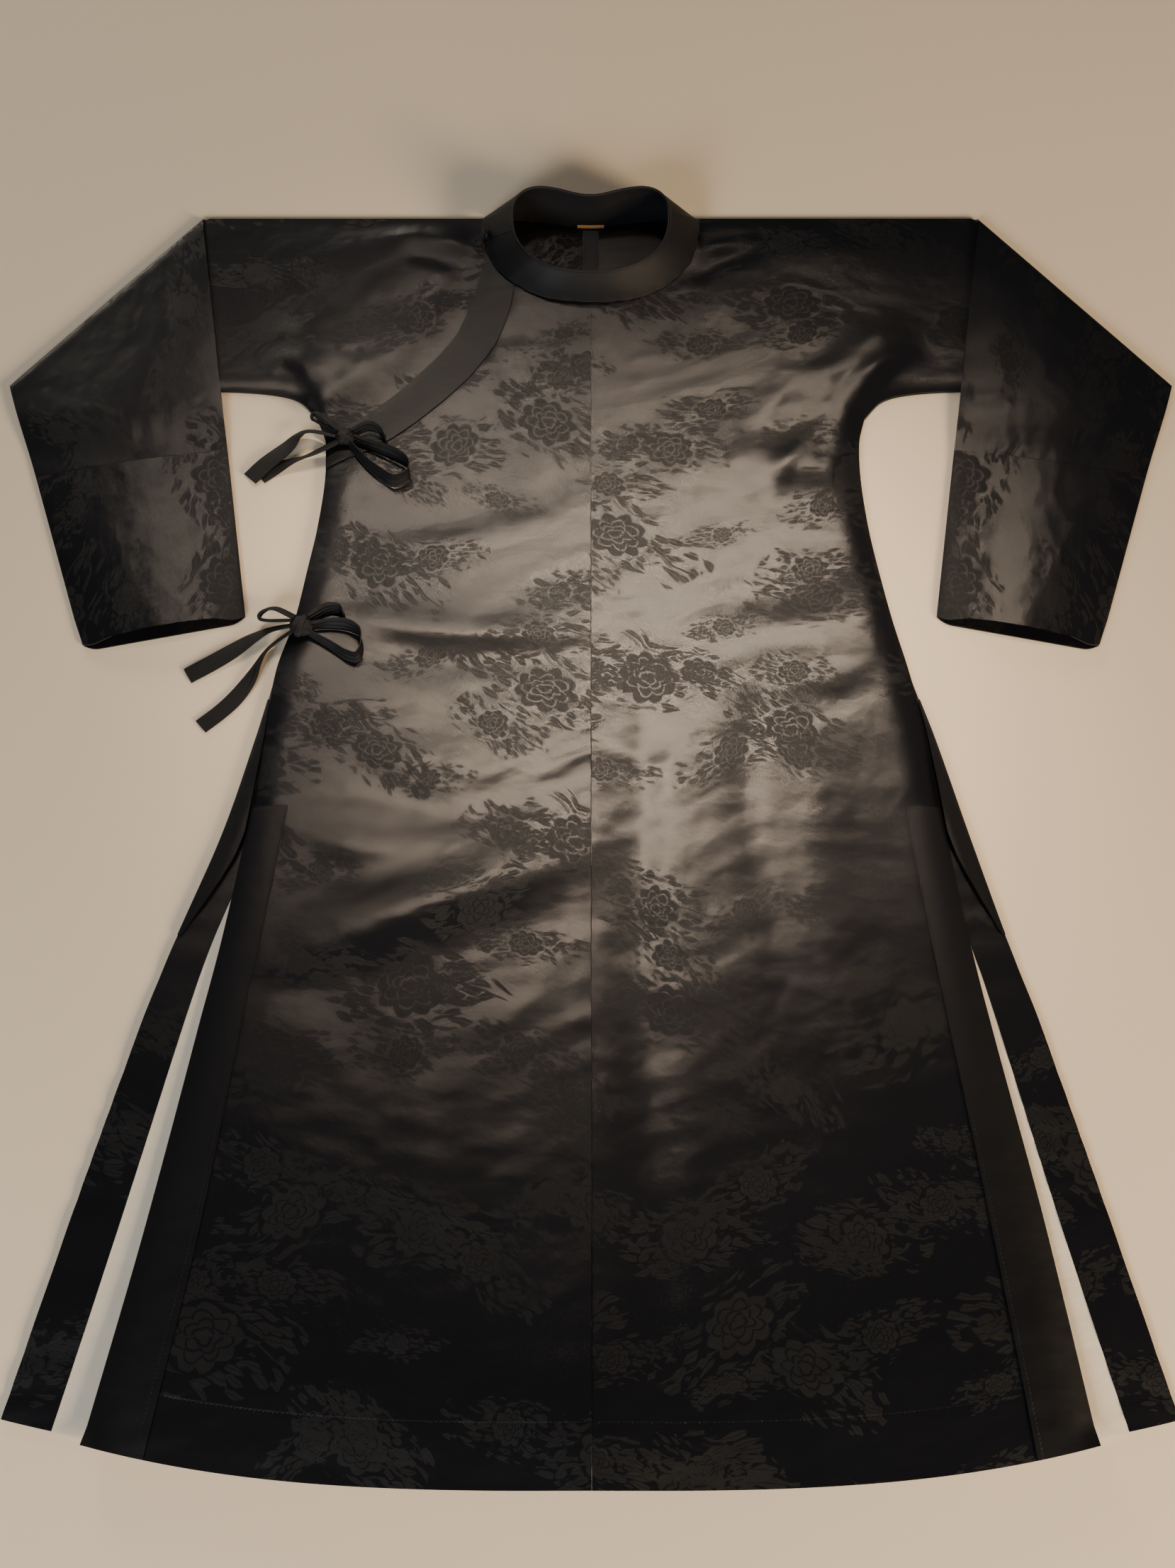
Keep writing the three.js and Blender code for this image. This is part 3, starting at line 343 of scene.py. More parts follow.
def innerShape(x, y):
    far, side = distanceTo(overlapPath, x, y)[:2]
    hidden = (side > 0) | (y < overlapTop)
    under = firstLayer + puff(x, y) * pinch(far) * np.where(hidden, smooth(1 - far / 30), 1)
    shows = np.where((side < 0) & (y > overlapTop), smooth(far / 30), 0)
    return np.maximum(under + creases(x, y, 2.2) * shows, firstLayer)


(foldX, foldY), (foldLowX, foldLowY) = sleeve["foldHigh"], sleeve["foldLow"]
foldLength = math.dist(sleeve["foldHigh"], sleeve["foldLow"])
normalX, normalY = (foldY - foldLowY) / foldLength, (foldLowX - foldX) / foldLength
foldTurn = math.pi * sleeve["axis"]


# Takes points of the sleeve as cut to their place once the sleeve is folded over the front.
def foldOver(x, y, z, upper):
    half = np.abs(x)
    past = (half - foldX) * normalX + (y - foldY) * normalY
    angle = np.clip(past / sleeve["axis"], 0, math.pi)
    radius = sleeve["axis"] - z
    beyond = np.maximum(0, past - foldTurn)
    shift = radius * np.sin(angle) - beyond - past
    placeY = y + normalY * shift
    lower = smooth((placeY - sleeve["dropFrom"]) / sleeve["dropOver"])
    drop = np.where(beyond > 0, sleeve["stack"] * (1 - lower), 0)
    across = math.pi * np.clip((shoulderLine - y) / (shoulderLine - underarmAt(half)), 0, 1)
    filled = curveThrough(sleeve["loftAt"], sleeve["loft"], half) * np.sin(across) ** 0.8
    filled = filled + 0.8 * ripples(half * 1.6, y * 1.6, 0.7) * np.sin(across)
    lift = np.where(upper, filled * smooth(beyond / sleeve["loftOver"]), 0)
    raised = np.maximum(sleeve["axis"] - radius * np.cos(angle) - drop + lift, 0)
    folded = past > 0
    return (
        np.where(folded, np.sign(x) * (half + normalX * shift), x),
        np.where(folded, placeY, y), np.where(folded, raised, z),
    )


# Points in metres, in the frame that the parts share
def toRow(x, y, z):
    return np.column_stack([x, y + rowShift, z]) / 1000


sheets = []


# Makes a mesh with a UV map in metres of cloth, one pair for each corner of each face. A second map
# holds how far along a stitched line each corner is, and how far off it.
def makeMesh(name, points, faces, uvs, material, stitched=None):
    mesh = bpy.data.meshes.new(name)
    mesh.from_pydata(points.tolist(), [], faces)
    corner = np.empty(len(mesh.loops), np.int32)
    mesh.loops.foreach_get("vertex_index", corner)
    if stitched is None:
        stitched = np.tile([0.0, 1.0], (len(points), 1))
    for layerName, pairs in (("cloth", uvs), ("stitches", stitched)):
        layer = mesh.uv_layers.new(name=layerName)
        layer.data.foreach_set("uv", np.asarray(pairs)[corner].astype(np.float32).ravel())
    mesh.validate()
    mesh.update()
    piece = bpy.data.objects.new(name, mesh)
    bpy.context.collection.objects.link(piece)
    piece.data.materials.append(material)
    bpy.ops.object.select_all(action="DESELECT")
    piece.select_set(True)
    bpy.context.view_layer.objects.active = piece
    bpy.ops.object.shade_smooth_by_angle(angle=math.radians(50))
    return piece


def declare(piece, node):
    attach(piece, "root")
    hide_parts(node)


def declareSheet(piece, wide, long, area=None):
    sheets.append((piece.name, wide, long, area or wide * long))


# A wall of cloth over grids of points as cut. Grids join where they share points. A piece cut in one with its
# sleeve is folded over with it: above it, or under it.
def layCloth(name, node, grids, shape, kind, upper=None, shiftUv=(0, 0), cut=None, stitch=None):
    thick, material, slot = kind
    flat = np.concatenate([grid.reshape(-1, 2) for grid in grids])
    first, which = np.unique(np.round(flat, 2), axis=0, return_index=True, return_inverse=True)[1:]
    flat, which = flat[first], which.ravel()
    quads, start, area = [], 0, 0
    for grid in grids:
        rows, columns = grid.shape[:2]
        n = which[start:start + rows * columns].reshape(rows, columns)
        start += rows * columns
        quads.append(np.stack([n[:-1, :-1], n[:-1, 1:], n[1:, 1:], n[1:, :-1]], -1).reshape(-1, 4))
    faces, edges = [], set()
    for quad in np.concatenate(quads).tolist():
        corners = [c for i, c in enumerate(quad) if c != quad[i - 1]]
        if len(set(corners)) < 3:
            continue
        p = flat[corners]
        size = 0.5 * np.sum(p[:, 0] * np.roll(p[:, 1], -1) - p[:, 1] * np.roll(p[:, 0], -1))
        if abs(size) < 0.01:
            continue
        face = corners if size > 0 else corners[::-1]
        faces.append(face)
        edges.update(zip(face, face[1:] + face[:1]))
        area += abs(size) / 1e6
    x, y = flat[:, 0], flat[:, 1]
    low = shape(x, y)
    walls = [(x, y, low), (x, y, low + thick)]
    if upper is not None:
        walls = [foldOver(*wall, upper) for wall in walls]
    count = len(flat)
    allFaces = [face[::-1] for face in faces] + [[c + count for c in face] for face in faces]
    allFaces += [[a, b, b + count, a + count] for a, b in sorted(edges) if (b, a) not in edges]
    uv = np.concatenate([flat, flat]) / 1000 + np.array(shiftUv)
    stitched = None if stitch is None else np.tile(np.column_stack(stitch(x, y)) / 1000, (2, 1))
    points = np.concatenate([toRow(*wall) for wall in walls])
    piece = makeMesh(name, points, allFaces, uv, material, stitched)
    declare(piece, node)
    wide, long = cut or (np.ptp(x) / 1000, np.ptp(y) / 1000)
    declareSheet(piece, wide, long, area)


# Joins sections of points into a tube, closed at both ends, or with its last section joined to its first.
# Each section's points keep their order round it.
def loft(name, node, sections, uvs, material, joined=False, stitched=None):
    count, around = sections.shape[:2]
    n = np.arange(count * around).reshape(count, around)
    after, beside = np.roll(n, -1, 0), np.roll(n, -1, 1)
    quads = np.stack([n, beside, np.roll(beside, -1, 0), after], -1)
    faces = quads[:count if joined else -1].reshape(-1, 4).tolist()
    if not joined:
        faces += [n[0][::-1].tolist(), n[-1].tolist()]
    piece = makeMesh(name, toRow(*sections.reshape(-1, 3).T), faces, uvs.reshape(-1, 2), material,
                     None if stitched is None else stitched.reshape(-1, 2))
    bpy.ops.object.mode_set(mode="EDIT")
    bpy.ops.mesh.select_all(action="SELECT")
    bpy.ops.mesh.normals_make_consistent(inside=False)
    bpy.ops.object.mode_set(mode="OBJECT")
    if node:
        declare(piece, node)
    return piece


def joinInto(piece, *parts):
    bpy.ops.object.select_all(action="DESELECT")
    for part in (*parts, piece):
        part.select_set(True)
    bpy.context.view_layer.objects.active = piece
    bpy.ops.object.join()


def alongOf(points):
    return np.append(0, np.cumsum(np.linalg.norm(np.diff(points, axis=0), axis=1)))


# Two lengths for each point of a grid, in metres
def pairsOf(a, b):
    return np.stack(np.broadcast_arrays(a, b), -1) / 1000


# The widest place of a strip's grid, and its length along the middle, in metres
def stripCut(grid):
    inner, outer = grid[:, 0], grid[:, -1]
    widest = np.max(np.linalg.norm(outer - inner, axis=1))
    return widest / 1000, alongOf((inner + outer) / 2)[-1] / 1000


def hemLevel(y, x, hem):
    return np.stack([x, y + hem(x) * np.maximum(0, 1 - y / robe["hemReach"])], -1)


# Places across a panel at each level: parts of the way from the inner edge to the facing, then its edge
def panelGrid(levels, c, parts, inner, band, edge, hem, side):
    share = np.interp(c, range(len(parts)), parts)
    past = np.clip(c - (len(parts) - 1), 0, 1)
    bandX, edgeX = band(levels, side)[:, None], edge(levels, side)[:, None]
    x = np.where(past > 0, blend(bandX, edgeX, past), inner + (bandX - inner) * share)
    return hemLevel(levels[:, None] + 0 * x, x, hem) * np.array([side, 1])


# A strip between two edges at each level
def stripGrid(levels, low, high, hem, side, columns=9):
    x = blend(low[:, None], high[:, None], np.linspace(0, 1, columns))
    return hemLevel(levels[:, None] + 0 * x, x, hem) * np.array([side, 1])


# Rows of points from one line of them to another
def rowsBetween(start, end, count, side):
    return blend(start, end, np.linspace(0, 1, count)[:, None, None]) * np.array([side, 1])


def levelsBetween(low, high, marks, step):
    stops = [low] + [m for m in marks if low < m < high] + [high]
    rows = [np.linspace(a, b, max(1, round((b - a) / step)) + 1)[:-1] for a, b in zip(stops[:-1], stops[1:])]
    return np.append(np.concatenate(rows), high)


# The sleeve's stations: the underarm edge and the shoulder line, out to the fold, round it and on
def sleeveStations():
    flat = [(246, 232), (262, 254), (285, 275), (330, 298), (400, 321), (465, 342), (foldLowX, foldX)]
    places = fineSteps(len(flat), 9)
    inner = np.column_stack([np.interp(places, range(len(flat)), column) for column in zip(*flat)])
    slope = (underarmAt(foldLowX + 40) - foldLowY) / 40
    turn = foldTurn / np.array([normalX + normalY * slope, normalX])
    turned = inner[-1] + turn * np.linspace(0.125, 1, 8)[:, None]
    outer = blend(turned[-1], sleeve["seamAt"] - seam / 2, np.linspace(0, 1, 25)[1:, None])
    return np.concatenate([inner, turned, outer])


# The yoke and upper sleeve: from the panel's top and the underarm edge up to the neck and shoulder
def yokeGrid(panel, tops, count, side):
    low, high = sleeveStations()[1:].T
    start = np.concatenate([np.abs(panel[-1]), np.column_stack([low, underarmAt(low)])])
    end = np.concatenate([tops, np.column_stack([high, np.full(len(high), shoulderLine)])])
    return rowsBetween(start, end, count, side)


# Points along the neck edge and then along the shoulder, at places c between the columns
def neckAndShoulder(c, turns, shoulder):
    lastX, lastY = neckPoint(turns[-1])
    places = range(len(turns) - 1, len(turns) + len(shoulder))
    onNeck = c <= places[0]
    neckX, neckY = neckPoint(np.interp(c, range(len(turns)), turns))
    x = np.where(onNeck, neckX, np.interp(c, places, [lastX, *shoulder]))
    y = np.where(onNeck, neckY, np.interp(c, places, [lastY] + [shoulderLine] * len(shoulder)))
    x[0] = max(x[0], robe["centre"])
    return np.column_stack([x, y])


print("forms ready")


def link(tree, value, socket):
    value = value.socket if isinstance(value, Value) else value
    if isinstance(value, bpy.types.NodeSocket):
        tree.links.new(value, socket)
    else:
        socket.default_value = value


# Adds a node with its settings, and with what goes into its inputs by name or place
def addNode(tree, kind, inputs, **settings):
    node = tree.nodes.new("ShaderNode" + kind)
    for name, value in settings.items():
        setattr(node, name, value)
    for name, value in inputs.items():
        link(tree, value, node.inputs[name])
    return node.outputs


def maths(tree, operation, *given):
    return Value(tree, addNode(tree, "Math", dict(enumerate(given)), operation=operation)[0])


def vectorMaths(tree, operation, *given):
    return addNode(tree, "VectorMath", dict(enumerate(given)), operation=operation)[0]


# A number in a material: arithmetic on it adds the nodes that work it out
class Value:
    def __init__(self, tree, socket):
        self.tree, self.socket = tree, socket

    def do(self, operation, *others):
        return maths(self.tree, operation, self, *others)

    def clamped(self):
        self.socket.node.use_clamp = True
        return self

    def __add__(self, other):
        return self.do("ADD", other)

    def __sub__(self, other):
        return self.do("SUBTRACT", other)

    def __rsub__(self, other):
        return maths(self.tree, "SUBTRACT", other, self)

    def __mul__(self, other):
        return self.do("MULTIPLY", other)

    def __truediv__(self, other):
        return self.do("DIVIDE", other)

    def __abs__(self):
        return self.do("ABSOLUTE")


def uvOf(tree, name="cloth"):
    return addNode(tree, "UVMap", {}, uv_map=name)[0]


def splitOf(tree, vector):
    return [Value(tree, socket) for socket in addNode(tree, "SeparateXYZ", {0: vector})]


def noise(tree, vector, scale, detail=2.0):
    outputs = addNode(tree, "TexNoise", {"Vector": vector, "Scale": scale, "Detail": detail})
    return Value(tree, outputs["Fac"]), outputs["Color"]


def mixColor(tree, share, a, b):
    return addNode(tree, "Mix", {0: share, 6: a, 7: b}, data_type="RGBA")[2]


# Cells round a place: where it is from its own cell's point, and the cell's three chances
def cellsAt(tree, place, scale, randomness, dimensions):
    inputs = {"Vector": place, "Scale": scale, "Randomness": randomness}
    cells = addNode(tree, "TexVoronoi", inputs, voronoi_dimensions=dimensions)
    return vectorMaths(tree, "SUBTRACT", place, cells["Position"]), splitOf(tree, cells["Color"])


def clothMaterial(name, roughness, shine):
    material = bpy.data.materials.new(name)
    material.use_nodes = True
    shader = material.node_tree.nodes["Principled BSDF"]
    shader.inputs["Roughness"].default_value = roughness
    shader.inputs["Specular IOR Level"].default_value = shine
    return material, material.node_tree, shader


stitches = {"groove": 0.0009, "thread": 0.0003, "round": 1.6, "length": 0.0034, "filled": (2.5, 1.2)}
# Heights are in units of the bump's distance, and lines and noises are so many to the metre.
weave = {
    "distance": 0.0002, "lines": 420, "lineHeight": 0.3, "uneven": 1.5, "wrinkles": (24, 4.2),
    "finer": (60, 2.4), "level": (0.8, 1.2, 1), "thread": 0.7,
}


# A stitched line's groove and its stitches, each from 0 to 1
def stitchedLine(tree):
    along, off = splitOf(tree, uvOf(tree, "stitches"))[:2]
    far = abs(off)
    groove = (1 - far / stitches["groove"]).clamped()
    steep, shift = stitches["filled"]
    dash = ((along * (2 * math.pi / stitches["length"])).do("SINE") * steep + shift).clamped()
    return groove, dash * (stitches["round"] - far / stitches["thread"]).clamped()


# The colour of a cloth, and as bump its weave's diagonal lines, small wrinkles and stitched lines
def weaveCloth(tree, shader, uv, color, lines):
    link(tree, color, shader.inputs["Base Color"])
    inputs = {"Vector": uv, "Scale": lines, "Distortion": weave["uneven"]}
    twill = addNode(tree, "TexWave", inputs, bands_direction="DIAGONAL")["Fac"]
    level = vectorMaths(tree, "MULTIPLY", uv, weave["level"])
    (scale, high), (finerScale, finerHigh) = weave["wrinkles"], weave["finer"]
    groove, thread = stitchedLine(tree)
    height = Value(tree, twill) * weave["lineHeight"] + noise(tree, uv, scale)[0] * high
    height = height + noise(tree, level, finerScale)[0] * finerHigh - groove + thread * weave["thread"]
    inputs = {"Strength": 1, "Distance": weave["distance"], "Height": height}
    link(tree, addNode(tree, "Bump", inputs)[0], shader.inputs["Normal"])


damask = {
    "ground": (0.0046, 0.0047, 0.0060, 1), "motif": (0.0015, 0.0016, 0.0021, 1), "grain": (900, 0.7, 0.62),
    "groundRough": 0.29, "motifRough": 0.60, "shine": 0.35, "turn": 1.3, "scatter": 0.75,
    # noises that move the pattern: how many to the metre, and how far they move it
    "warps": [(9, 0.015), (36, 0.0042), (150, 0.0007)],
    # two sets of flowers: how far apart, smallest and largest radius, reach of the leaves, and a shift
    "sets": [(0.132, 0.019, 0.029, 3.0, (0.031, 0.052)), (0.088, 0.010, 0.017, 3.6, (0.64, 0.37))],
}
# In flower radii. Rings of petals: how many, how far out, how deep, and turned by how much
spray = {
    "petals": [(9, 1.0, 0.2, 0.3), (7, 0.72, 0.3, 1.4), (5, 0.46, 0.34, 0.6), (3, 0.24, 0.3, 0.1)],
    "tall": 1.15, "leafLong": 0.56, "leafWide": (0.26, 0.24), "leftOut": 0.20, "ends": (0.9, 0.35),
    "stem": 0.045, "stemWave": (1.7, 0.22), "stemEnd": 0.8,
}


# A group that gives one flower on its branch of leaves as 0 to 1, round the origin
def sprayGroup():
    tree = bpy.data.node_groups.new("flowerSpray", "ShaderNodeTree")
    tree.interface.new_socket("Vector", in_out="INPUT", socket_type="NodeSocketVector")
    for name in ("Turn", "Radius", "Reach", "Seed"):
        tree.interface.new_socket(name, in_out="INPUT", socket_type="NodeSocketFloat")
    tree.interface.new_socket("Mask", in_out="OUTPUT", socket_type="NodeSocketFloat")
    given, out = tree.nodes.new("NodeGroupInput"), tree.nodes.new("NodeGroupOutput")
    vector, *numbers = given.outputs[:5]
    turn, size, reach, seed = (Value(tree, number) for number in numbers)
    dx, dy = splitOf(tree, vector)[:2]
    c, s = turn.do("COSINE"), turn.do("SINE")
    u, v = (dx * c + dy * s) / size, (dy * c - dx * s) / size * spray["tall"]
    r, angle = (u * u + v * v).do("SQRT"), v.do("ARCTAN2", u)

    # petals: rings of lobes, each edged by a bare line
    rings = []
    for count, far, deep, phase in spray["petals"]:
        rings.append(abs((angle * (count / 2) + phase).do("SINE")) * (far * deep) + far * (1 - deep))
    flower = ((rings[0] - r) * 22).clamped()
    for ring in rings[1:]:
        flower = flower * (abs(r - ring) * 17).clamped()

    # leaves: pointed blades that fan out along the branch on both sides, some left out
    fan = v / (abs(u) * 0.2 + 0.75)
    place = addNode(tree, "CombineXYZ", {0: u * 1.35 + fan * 0.7, 1: fan * 2.7, 2: seed * 40})[0]
    local, (chance, lean, _) = cellsAt(tree, place, 1.3, 0.85, "3D")
    lu, lv = splitOf(tree, local)[:2]
    away = abs(lv + lu * ((lean - 0.5) * 2.0))
    lu = lu / spray["leafLong"]
    more, least = spray["leafWide"]
    wide = (1 - lu * lu) * (chance * more + least)
    kept = ((chance - spray["leftOut"]) * 40).clamped()
    leaf = ((wide - away) * 14).clamped() * (away * 22).clamped() * kept
    e = u / reach
    more, least = spray["ends"]
    edge = lean * more + least - (e * e + v * v * 0.42)
    leaf = leaf * (edge * 30).clamped() * ((r - 1.02) * 12).clamped()
    wave, high = spray["stemWave"]
    beside = abs(v - (u * wave).do("SINE") * high)
    stem = ((spray["stem"] - beside) * 40).clamped() * ((spray["stemEnd"] - e * e) * 30).clamped()
    link(tree, flower.do("MAXIMUM", leaf).do("MAXIMUM", stem), out.inputs[0])
    return tree


# The woven pattern as 0 on the ground and 1 on the flowers, at places in metres on the cut cloth
def damaskMask(tree, place):
    group, masks = sprayGroup(), []
    for scale, reach in damask["warps"]:
        shift = noise(tree, place, scale)[1]
        place = vectorMaths(tree, "MULTIPLY_ADD", shift, (2 * reach, 2 * reach, 0), place)
    for apart, smallest, largest, reach, shift in damask["sets"]:
        shifted = vectorMaths(tree, "ADD", place, (*shift, 0))
        local, chance = cellsAt(tree, shifted, 1 / apart, damask["scatter"], "2D")
        masks.append(Value(tree, addNode(tree, "Group", {
            "Vector": local, "Turn": (chance[0] - 0.5) * damask["turn"], "Reach": reach,
            "Radius": chance[1] * (largest - smallest) + smallest, "Seed": chance[2],
        }, node_tree=group)[0]))
    return masks[0].do("MAXIMUM", masks[1])


def damaskMaterial():
    material, tree, shader = clothMaterial("darkDamask", damask["groundRough"], damask["shine"])
    uv = uvOf(tree)
    scale, more, least = damask["grain"]
    mask = (damaskMask(tree, uv) * (noise(tree, uv, scale)[0] * more + least)).clamped()
    rough = mask * (damask["motifRough"] - damask["groundRough"]) + damask["groundRough"]
    link(tree, rough, shader.inputs["Roughness"])
    weaveCloth(tree, shader, uv, mixColor(tree, mask, damask["ground"], damask["motif"]), weave["lines"])
    return material


def satinMaterial(name, color, roughness, shine=0.5, lines=weave["lines"], mottle=0.15):
    material, tree, shader = clothMaterial(name, roughness, shine)
    uv = uvOf(tree)
    darker = [v * (1 - mottle) for v in color]
    patchy = mixColor(tree, noise(tree, uv, 14, 4)[0], (*darker, 1), (*color, 1))
    weaveCloth(tree, shader, uv, patchy, lines)
    return material


darkDamask = damaskMaterial()
plainSatin = satinMaterial("plainSatin", (0.0044, 0.0044, 0.0054), 0.44, 0.3)
collarSatin = satinMaterial("collarSatin", (0.0056, 0.0058, 0.0074), 0.56, 0.25)
ribbonSatin = satinMaterial("ribbonSatin", (0.0026, 0.0027, 0.0033), 0.62, 0.3)
creamLining = satinMaterial("creamLining", (0.74, 0.66, 0.53), 0.75, lines=700, mottle=0.06)
seamTape = satinMaterial("seamTape", (0.050, 0.049, 0.056), 0.6)
ochreTab = satinMaterial("ochreTab", (0.46, 0.24, 0.09), 0.65, lines=700)
print("materials ready")


# A layer's thickness, material and slot
damaskCloth, facingCloth = (cloth, darkDamask, "damask"), (trim, plainSatin, "plain_satin")

# Panels cut in one with half of an upper sleeve: how many columns and steps to each, where they stand up to
# the armpit, then by turns round the neck and places on the shoulder, and how many rows lead there
sleeved = {
    "back": ((7, 6), [0, 0.2, 0.4, 0.6, 0.8, 1], [90, 78, 48], [98, 140, 185, 232], 46),
    "left": ((10, 8), [0, 0.13, 0.26, 0.39, 0.52, 0.65, 0.78, 0.9, 1], [-90, -75, -60, -45, -32, -20, -9],
             [98, 165, 232], 56),
    "inner": ((6, 9), [0, 0.22, 0.44, 0.66, 0.84, 1], [-60, -36, -12], [98, 165, 232], 56),
}


def sleevedGrids(kind, levels, start, band, edge, hem, side):
    columns, parts, turns, shoulder, rows = sleeved[kind]
    c = fineSteps(*columns)
    grid = panelGrid(levels, c, parts, start, band, edge, hem, side)
    return [grid, yokeGrid(grid, neckAndShoulder(c, turns, shoulder), rows, side)]


# Backs, each with the back of its upper sleeve
def addBack(name, node, side):
    marks = [robe["hemReach"], robe["turnEnd"], robe["liningTop"]]
    levels = levelsBetween(0, armpit, marks, robe["coarse"])
    grids = sleevedGrids("back", levels, robe["centre"], backBand, sideAt, backHem, side)
    layCloth(name, node, grids, lambda x, y: 0 * x, damaskCloth, upper=True, shiftUv=(0.07 * side, 0.19))


addBack("backLeft", "back_left", 1)
addBack("backRight", "back_right", -1)


# Fronts
frontMarks = [robe["hemStitch"], robe["turnEnd"], slitTop, robe["slitBar"], robe["turnStart"]]


# How far along the hem's stitches and above them, or from the centre seam where that is nearer
def hemStitch(x, y):
    above = y - frontHem(x) - robe["hemStitch"]
    beside = np.abs(x) + robe["seamGroove"]
    return x, np.where(beside < np.abs(above), np.sign(above) * beside, above)


def addLeftFront():
    levels = levelsBetween(0, armpit, frontMarks, robe["step"])
    grids = sleevedGrids("left", levels, robe["centre"], frontBand, frontAt, frontHem, 1)
    layCloth("frontLeft", "front_left", grids, leftShape, damaskCloth, upper=False, shiftUv=(0.07, -0.06),
             stitch=hemStitch)


addLeftFront()


# The overlap's facing: its outer edge, and its inner edge along the neck and then beside the outer one
def facingOuter(p):
    start = neckPoint(overlapEdge["neck"][0])
    edge = [curveThrough(range(11), overlapEdge[key], p) for key in ("x", "y")]
    return np.column_stack([np.where(p <= 0, first, later) for first, later in zip(start, edge)])


def facingInnerPoints():
    xs, ys = overlapEdge["x"], overlapEdge["y"]
    points = [neckPoint(overlapEdge["neck"][-1])]
    for i, wide in enumerate(overlapEdge["wide"], 4):
        dx, dy = xs[i + 1] - xs[i - 1], ys[i + 1] - ys[i - 1]
        length = math.hypot(dx, dy)
        points.append((xs[i] + dy / length * wide, ys[i] - dx / length * wide))
    return np.array(points + [(frontAt(overlapTop, -1), overlapTop)])


innerPoints = facingInnerPoints()


def facingInner(p):
    onNeck = neckPoint(np.interp(p, range(4), overlapEdge["neck"]))
    past = [curveThrough(range(3, 11), column, p) for column in innerPoints.T]
    return np.column_stack([np.where(p <= 3, first, later) for first, later in zip(onNeck, past)])


overlap = {
    "parts": [0, 0.19, 0.35, 0.45, 0.55, 0.66, 0.77, 0.88, 1], "turns": [-90, -68, -48], "rows": 44,
    "across": 10,
}


def addOverlap():
    c, p = fineSteps(10, 8), fineSteps(11, 8)
    levels = levelsBetween(0, overlapTop, frontMarks, robe["step"])
    grid = panelGrid(levels, c, overlap["parts"], robe["centre"], frontBand, frontAt, frontHem, -1)
    onNeck = np.column_stack(neckPoint(np.interp(c, range(3), overlap["turns"])))
    tops = np.where(c[:, None] <= 2, onNeck, facingInner(c + 1))
    tops[0, 0] = robe["centre"]
    top = rowsBetween(np.abs(grid[-1]), tops, overlap["rows"], -1)
    facing = rowsBetween(facingInner(p), facingOuter(p), overlap["across"], -1)
    layCloth("frontOverlap", "front_overlap", [grid, top, facing], overlapShape, damaskCloth,
             shiftUv=(0.13, 0.09), stitch=hemStitch)
    layCloth("overlapFacing", "overlap_facing", [facing], lambda x, y: overlapShape(x, y) + cloth + seam,
             facingCloth, cut=stripCut(facing.swapaxes(0, 1)))


addOverlap()


def addInnerFront():
    levels = levelsBetween(robe["innerHem"], armpit, [overlapTop], robe["coarse"])
    grids = sleevedGrids("inner", levels, robe["innerFrom"], frontAt, frontAt, frontHem, -1)
    layCloth("frontInner", "front_inner", grids, innerShape, damaskCloth, upper=False, shiftUv=(0.21, 0.3))


addInnerFront()
print("fronts and backs made")


# Facings, lining and the turned-up sides
slit = {
    "stitchIn": 1.6, "stitchDown": 1.8, "ruffle": 0.9, "turnRise": 5, "turnOver": 16,
    "turnLevels": [368, 385, 410, 435, 455, 575], "turnParts": [0.9, 0.75, 0.45, 0.15, 0, 0],
}


def addSlitFacings(word, side, skirt, front):
    levels = levelsBetween(0, robe["slitBar"], frontMarks, robe["step"])
    grid = stripGrid(levels, frontBand(levels, side), frontAt(levels, side), frontHem, side)

    def stitch(x, y):
        below = robe["slitBar"] - slit["stitchDown"] - y
        return y, np.minimum(np.abs(x) - frontBand(y, side) - slit["stitchIn"], below)

    def ruffle(x, y):
        return firstLayer + slit["ruffle"] * np.abs(np.sin(y * 0.09 + np.sin(y * 0.031) * 2))

    layCloth(f"frontSlitFacing{word}", f"slit_facing_front_{word.lower()}", [grid],
             lambda x, y: front(x, y) + cloth + seam, facingCloth, cut=stripCut(grid), stitch=stitch)
    grid = stripGrid(skirt, backBand(skirt, side), sideAt(skirt, side) - seam, backHem, side)
    layCloth(f"backSlitFacing{word}", f"slit_facing_back_{word.lower()}", [grid], ruffle,
             (trim, darkDamask, "damask"), shiftUv=(0.1 * side, 0.33), cut=stripCut(grid))


def addSideTurn(name, node, side):
    marks = slit["turnLevels"]
    levels = levelsBetween(marks[0], marks[-1], marks[1:-1], 4)
    outer = sideAt(levels, side) - seam
    inner = blend(frontAt(levels, side) + 2 * seam, outer, np.interp(levels, marks, slit["turnParts"]))
    grid = stripGrid(levels, inner, outer, backHem, side)

    def rise(x, y):
        return overLining + slit["turnRise"] * smooth((sideAt(y, side) - np.abs(x)) / slit["turnOver"])

    layCloth(name, node, [grid], rise, (cloth, plainSatin, "plain_satin"), cut=stripCut(grid))


def addSkirt():
    skirt = levelsBetween(0, robe["liningTop"], [robe["hemReach"], robe["turnEnd"]], 6)
    for word, side, front in (("Left", 1, leftShape), ("Right", -1, overlapShape)):
        addSlitFacings(word, side, skirt, front)
        addSideTurn(f"sideTurn{word}", f"side_turn_{word.lower()}", side)
    grid = stripGrid(skirt, seam - backBand(skirt, -1), backBand(skirt, 1) - seam, backHem, 1, 61)
    layCloth("skirtLining", "skirt_lining", [grid], lambda x, y: firstLayer + 0 * x,
             (trim, creamLining, "lining"))


addSkirt()


